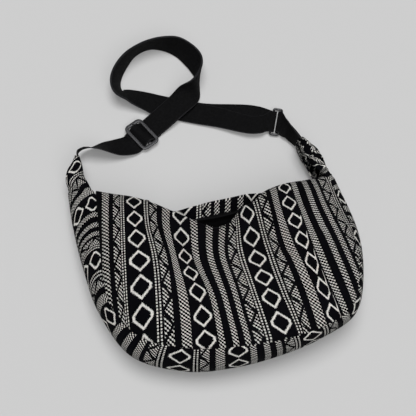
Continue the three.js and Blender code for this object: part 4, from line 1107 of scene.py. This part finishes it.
class BAG_OT_materials(bpy.types.Operator):
    """Makes the cloth, webbing, lining and metal finishes"""
    bl_idname = "bag.materials"
    bl_label = "Finishes"

    def execute(self, context):
        cloth, trim = context.scene.bag_cloth, context.scene.bag_trim
        jacquard_material("jacquard", cloth.light_thread, cloth.dark_thread)
        webbing_material("webbing", trim.webbing)
        webbing_material("tape_cloth", trim.webbing)
        plain_material("lining_cloth", trim.lining)
        plain_material("tooth_nylon", [2.5 * v for v in trim.webbing])
        gunmetal_material("gunmetal_finish", trim.gunmetal)
        return {"FINISHED"}


def lay_panel(name, points, cloth, node, flip=False):
    """One panel of the outer cloth, as thick as the settings have it, in place of its solid."""
    piece = surface(name, points, cloth, flip=flip)
    thicken(piece, bpy.context.scene.bag_cloth.cloth_thickness / MM)
    finish_piece(piece, "jacquard", "bag", "jacquard_cloth", node)
    return piece


class BAG_OT_front_panel(bpy.types.Operator):
    """Lays the crowned front panel with its stripes, valleys and drawn-in seam"""
    bl_idname = "bag.front_panel"
    bl_label = "Front panel"

    def execute(self, context):
        p = front_panel_points(*FRONT_GRID)
        across = stripe_lay(p)
        cloth = cloth_map(across, along_lay(p, across))
        piece = lay_panel("front_cloth", p, cloth, "front_panel", flip=True)
        return {"FINISHED"}


class BAG_OT_gusset(bpy.types.Operator):
    """Lays the gusset round the bottom and gathers its two ends"""
    bl_idname = "bag.gusset"
    bl_label = "Gusset and gathered ends"

    def execute(self, context):
        p = gusset_points(*GUSSET_GRID)
        piece = lay_panel("gusset_cloth", p, cloth_map(*gusset_lay(p)), "gusset")
        return {"FINISHED"}


class BAG_OT_back_panel(bpy.types.Operator):
    """Lays the back panel on the ground and up to the mouth"""
    bl_idname = "bag.back_panel"
    bl_label = "Back panel"

    def execute(self, context):
        p = back_panel_points(*BACK_GRID)
        cloth = cloth_map(back_stripes(p), lengths(p, 0) - 3.5)
        piece = lay_panel("back_cloth", p, cloth, "back_panel")
        return {"FINISHED"}


class BAG_OT_strap(bpy.types.Operator):
    """Carries the webbing through the adjuster, round its loop, to the ring and back"""
    bl_idname = "bag.strap"
    bl_label = "Strap"

    def execute(self, context):
        piece = sweep_web("strap", strap_at, strap_line(), lambda s: 0.45 + 0.55 * smooth((s - 14.0) / 40.0))
        finish_piece(piece, "webbing", "bag", "black_webbing", "strap_webbing")
        return {"FINISHED"}


class BAG_OT_tab(bpy.types.Operator):
    """Folds the short tab over the ring's far bar and into the right end"""
    bl_idname = "bag.tab"
    bl_label = "Ring tab"

    def execute(self, context):
        piece = sweep_web("tab", *ring_tab_frames(), np.ones_like)
        finish_piece(piece, "webbing", "bag", "black_webbing", "ring_tab")
        return {"FINISHED"}


class BAG_OT_metal(bpy.types.Operator):
    """Casts the adjuster's frame with its middle bar and bends the ring"""
    bl_idname = "bag.metal"
    bl_label = "Adjuster and ring"

    def execute(self, context):
        adjuster = piece_of("adjuster", adjuster_patches())
        finish_piece(adjuster, "gunmetal_finish", "bag", "gunmetal", "strap_adjuster")
        ring = piece_of("ring", ring_patches())
        finish_piece(ring, "gunmetal_finish", "bag", "gunmetal", "strap_ring")
        return {"FINISHED"}


class BAG_OT_lining(bpy.types.Operator):
    """Hangs the lining inside the outer cloth"""
    bl_idname = "bag.lining"
    bl_label = "Lining"

    def execute(self, context):
        p = lining_points()
        cloth = cloth_map(lengths(p, 1), lengths(p, 0))
        piece = surface("lining_bag", p, cloth, flip=looks_away(p, p - MIDDLE))
        thicken(piece, LINING)
        finish_piece(piece, "lining_cloth", "bag", "black_lining", "lining")
        return {"FINISHED"}


class BAG_OT_zip(bpy.types.Operator):
    """Sews the facings and the two zip tapes inside the mouth and sets their teeth"""
    bl_idname = "bag.zip"
    bl_label = "Facings and zip"

    def execute(self, context):
        for side, where in ((-1, "front"), (1, "back")):
            way = np.array([0.0, 0.0, -float(side)])
            p = facing_points(side)
            cloth = cloth_map(back_stripes(p), lengths(p, 0) + 6.0)
            piece = surface("facing_" + where, p, cloth, flip=looks_away(p, way))
            thicken(piece, FACING)
            finish_piece(piece, "jacquard", "bag", "jacquard_cloth")
            p = zip_tape(side)
            cloth = cloth_map(lengths(p, 1), lengths(p, 0))
            piece = surface("tape_" + where, p, cloth, flip=looks_away(p, way))
            thicken(piece, TAPE, 0.0)
            finish_piece(piece, "tape_cloth", "bag", "black_zip", "zip_tape_" + where)
            piece = piece_of("teeth_" + where, zip_teeth(side))
            finish_piece(piece, "tooth_nylon", "bag", "black_zip")
        return {"FINISHED"}


class BAG_OT_slider(bpy.types.Operator):
    """Makes the zip's slider and its pull"""
    bl_idname = "bag.slider"
    bl_label = "Slider and pull"

    def execute(self, context):
        slider = piece_of("slider_body", slider_patches())
        finish_piece(slider, "gunmetal_finish", "slider", "gunmetal", "zip_slider")
        pull = piece_of("pull_tab", pull_patches())
        finish_piece(pull, "gunmetal_finish", "pull", "gunmetal", "zip_pull")
        return {"FINISHED"}


# The stage, in metres and degrees: floor, lamps (place over the origin, angle) and camera.
FLOOR_HALF, FLOOR_LOW = 4.0, 0.0003
LAMPS = {"key": ((0.06, 0.06, 1.5), 36.0), "fill": ((0.20, -1.00, 1.1), 40.0)}
SENSOR, CLIP_END = 36.0, 20.0
CAMERA_TARGET = np.array([-0.00317, 0.11237, 0.040])
CAMERA_FAR, CAMERA_AZIMUTH, CAMERA_ELEVATION = 1.4, -8.0, 62.0


def stand(name, data, place, aim):
    """Puts a lamp or camera at a place, looking at a point, upright."""
    thing = bpy.data.objects.new(name, data)
    bpy.context.scene.collection.objects.link(thing)
    thing.location = Vector(place)
    thing.rotation_euler = (Vector(aim) - Vector(place)).to_track_quat("-Z", "Y").to_euler()
    return thing


class BAG_OT_stage(bpy.types.Operator):
    """Makes the floor, the light and the camera"""
    bl_idname = "bag.stage"
    bl_label = "Stage"

    def execute(self, context):
        scene, settings = context.scene, context.scene.bag_stage
        x, y = np.meshgrid(*[np.linspace(-FLOOR_HALF, FLOOR_HALF, 9)] * 2)
        floor = surface("floor", np.stack([x, y, np.full_like(x, -FLOOR_LOW)], -1) / MM)
        floor_material("floor_paper", settings.floor, settings.paper_glow)
        floor.data.materials.append(bpy.data.materials["floor_paper"])
        scene.world = bpy.data.worlds.new("studio")
        scene.world.use_nodes = True
        background = scene.world.node_tree.nodes["Background"].inputs
        background[0].default_value, background[1].default_value = (1, 1, 1, 1), settings.sky
        for name, (place, wide) in LAMPS.items():
            lamp = bpy.data.lights.new(name, "SUN")
            lamp.energy, lamp.angle = getattr(settings, name), np.radians(wide)
            stand(name, lamp, place, (0, 0, 0))
        camera = bpy.data.cameras.new("photo_view")
        camera.lens, camera.clip_end, camera.sensor_fit = settings.lens, CLIP_END, "HORIZONTAL"
        camera.sensor_width = camera.sensor_height = SENSOR
        a, e = np.radians(CAMERA_AZIMUTH), np.radians(CAMERA_ELEVATION)
        back = np.array([np.sin(a) * np.cos(e), -np.cos(a) * np.cos(e), np.sin(e)])
        scene.camera = stand("photo_view", camera, CAMERA_TARGET + CAMERA_FAR * back, CAMERA_TARGET)
        scene.view_settings.view_transform = "Standard"
        return {"FINISHED"}


class BAG_PT_panel(bpy.types.Panel):
    """Lists the steps that build the bag"""
    bl_idname = "BAG_PT_panel"
    bl_label = "Crossbody bag"
    bl_space_type = "VIEW_3D"
    bl_region_type = "UI"
    bl_category = "Bag"

    def draw(self, context):
        for step in STEPS:
            self.layout.operator(step.bl_idname)
        for name, kind in SETTINGS:
            for field in kind.__annotations__:
                self.layout.prop(getattr(context.scene, name), field)


STEPS = (BAG_OT_materials, BAG_OT_front_panel, BAG_OT_gusset, BAG_OT_back_panel, BAG_OT_strap, BAG_OT_tab,
         BAG_OT_metal, BAG_OT_lining, BAG_OT_zip, BAG_OT_slider, BAG_OT_stage)
SETTINGS = (("bag_cloth", BagClothSettings), ("bag_trim", BagTrimSettings), ("bag_stage", BagStageSettings))


def register():
    for name, kind in SETTINGS:
        bpy.utils.register_class(kind)
        setattr(bpy.types.Scene, name, PointerProperty(type=kind))
    for step in STEPS + (BAG_PT_panel,):
        bpy.utils.register_class(step)


def unregister():
    for step in reversed(STEPS + (BAG_PT_panel,)):
        bpy.utils.unregister_class(step)
    for name, kind in reversed(SETTINGS):
        delattr(bpy.types.Scene, name)
        bpy.utils.unregister_class(kind)


def main():
    register()
    bpy.ops.bag.materials()
    bpy.ops.bag.front_panel()
    bpy.ops.bag.gusset()
    bpy.ops.bag.back_panel()
    bpy.ops.bag.strap()
    bpy.ops.bag.tab()
    bpy.ops.bag.metal()
    bpy.ops.bag.lining()
    bpy.ops.bag.zip()
    bpy.ops.bag.slider()
    bpy.ops.bag.stage()


if __name__ == "__main__":
    main()
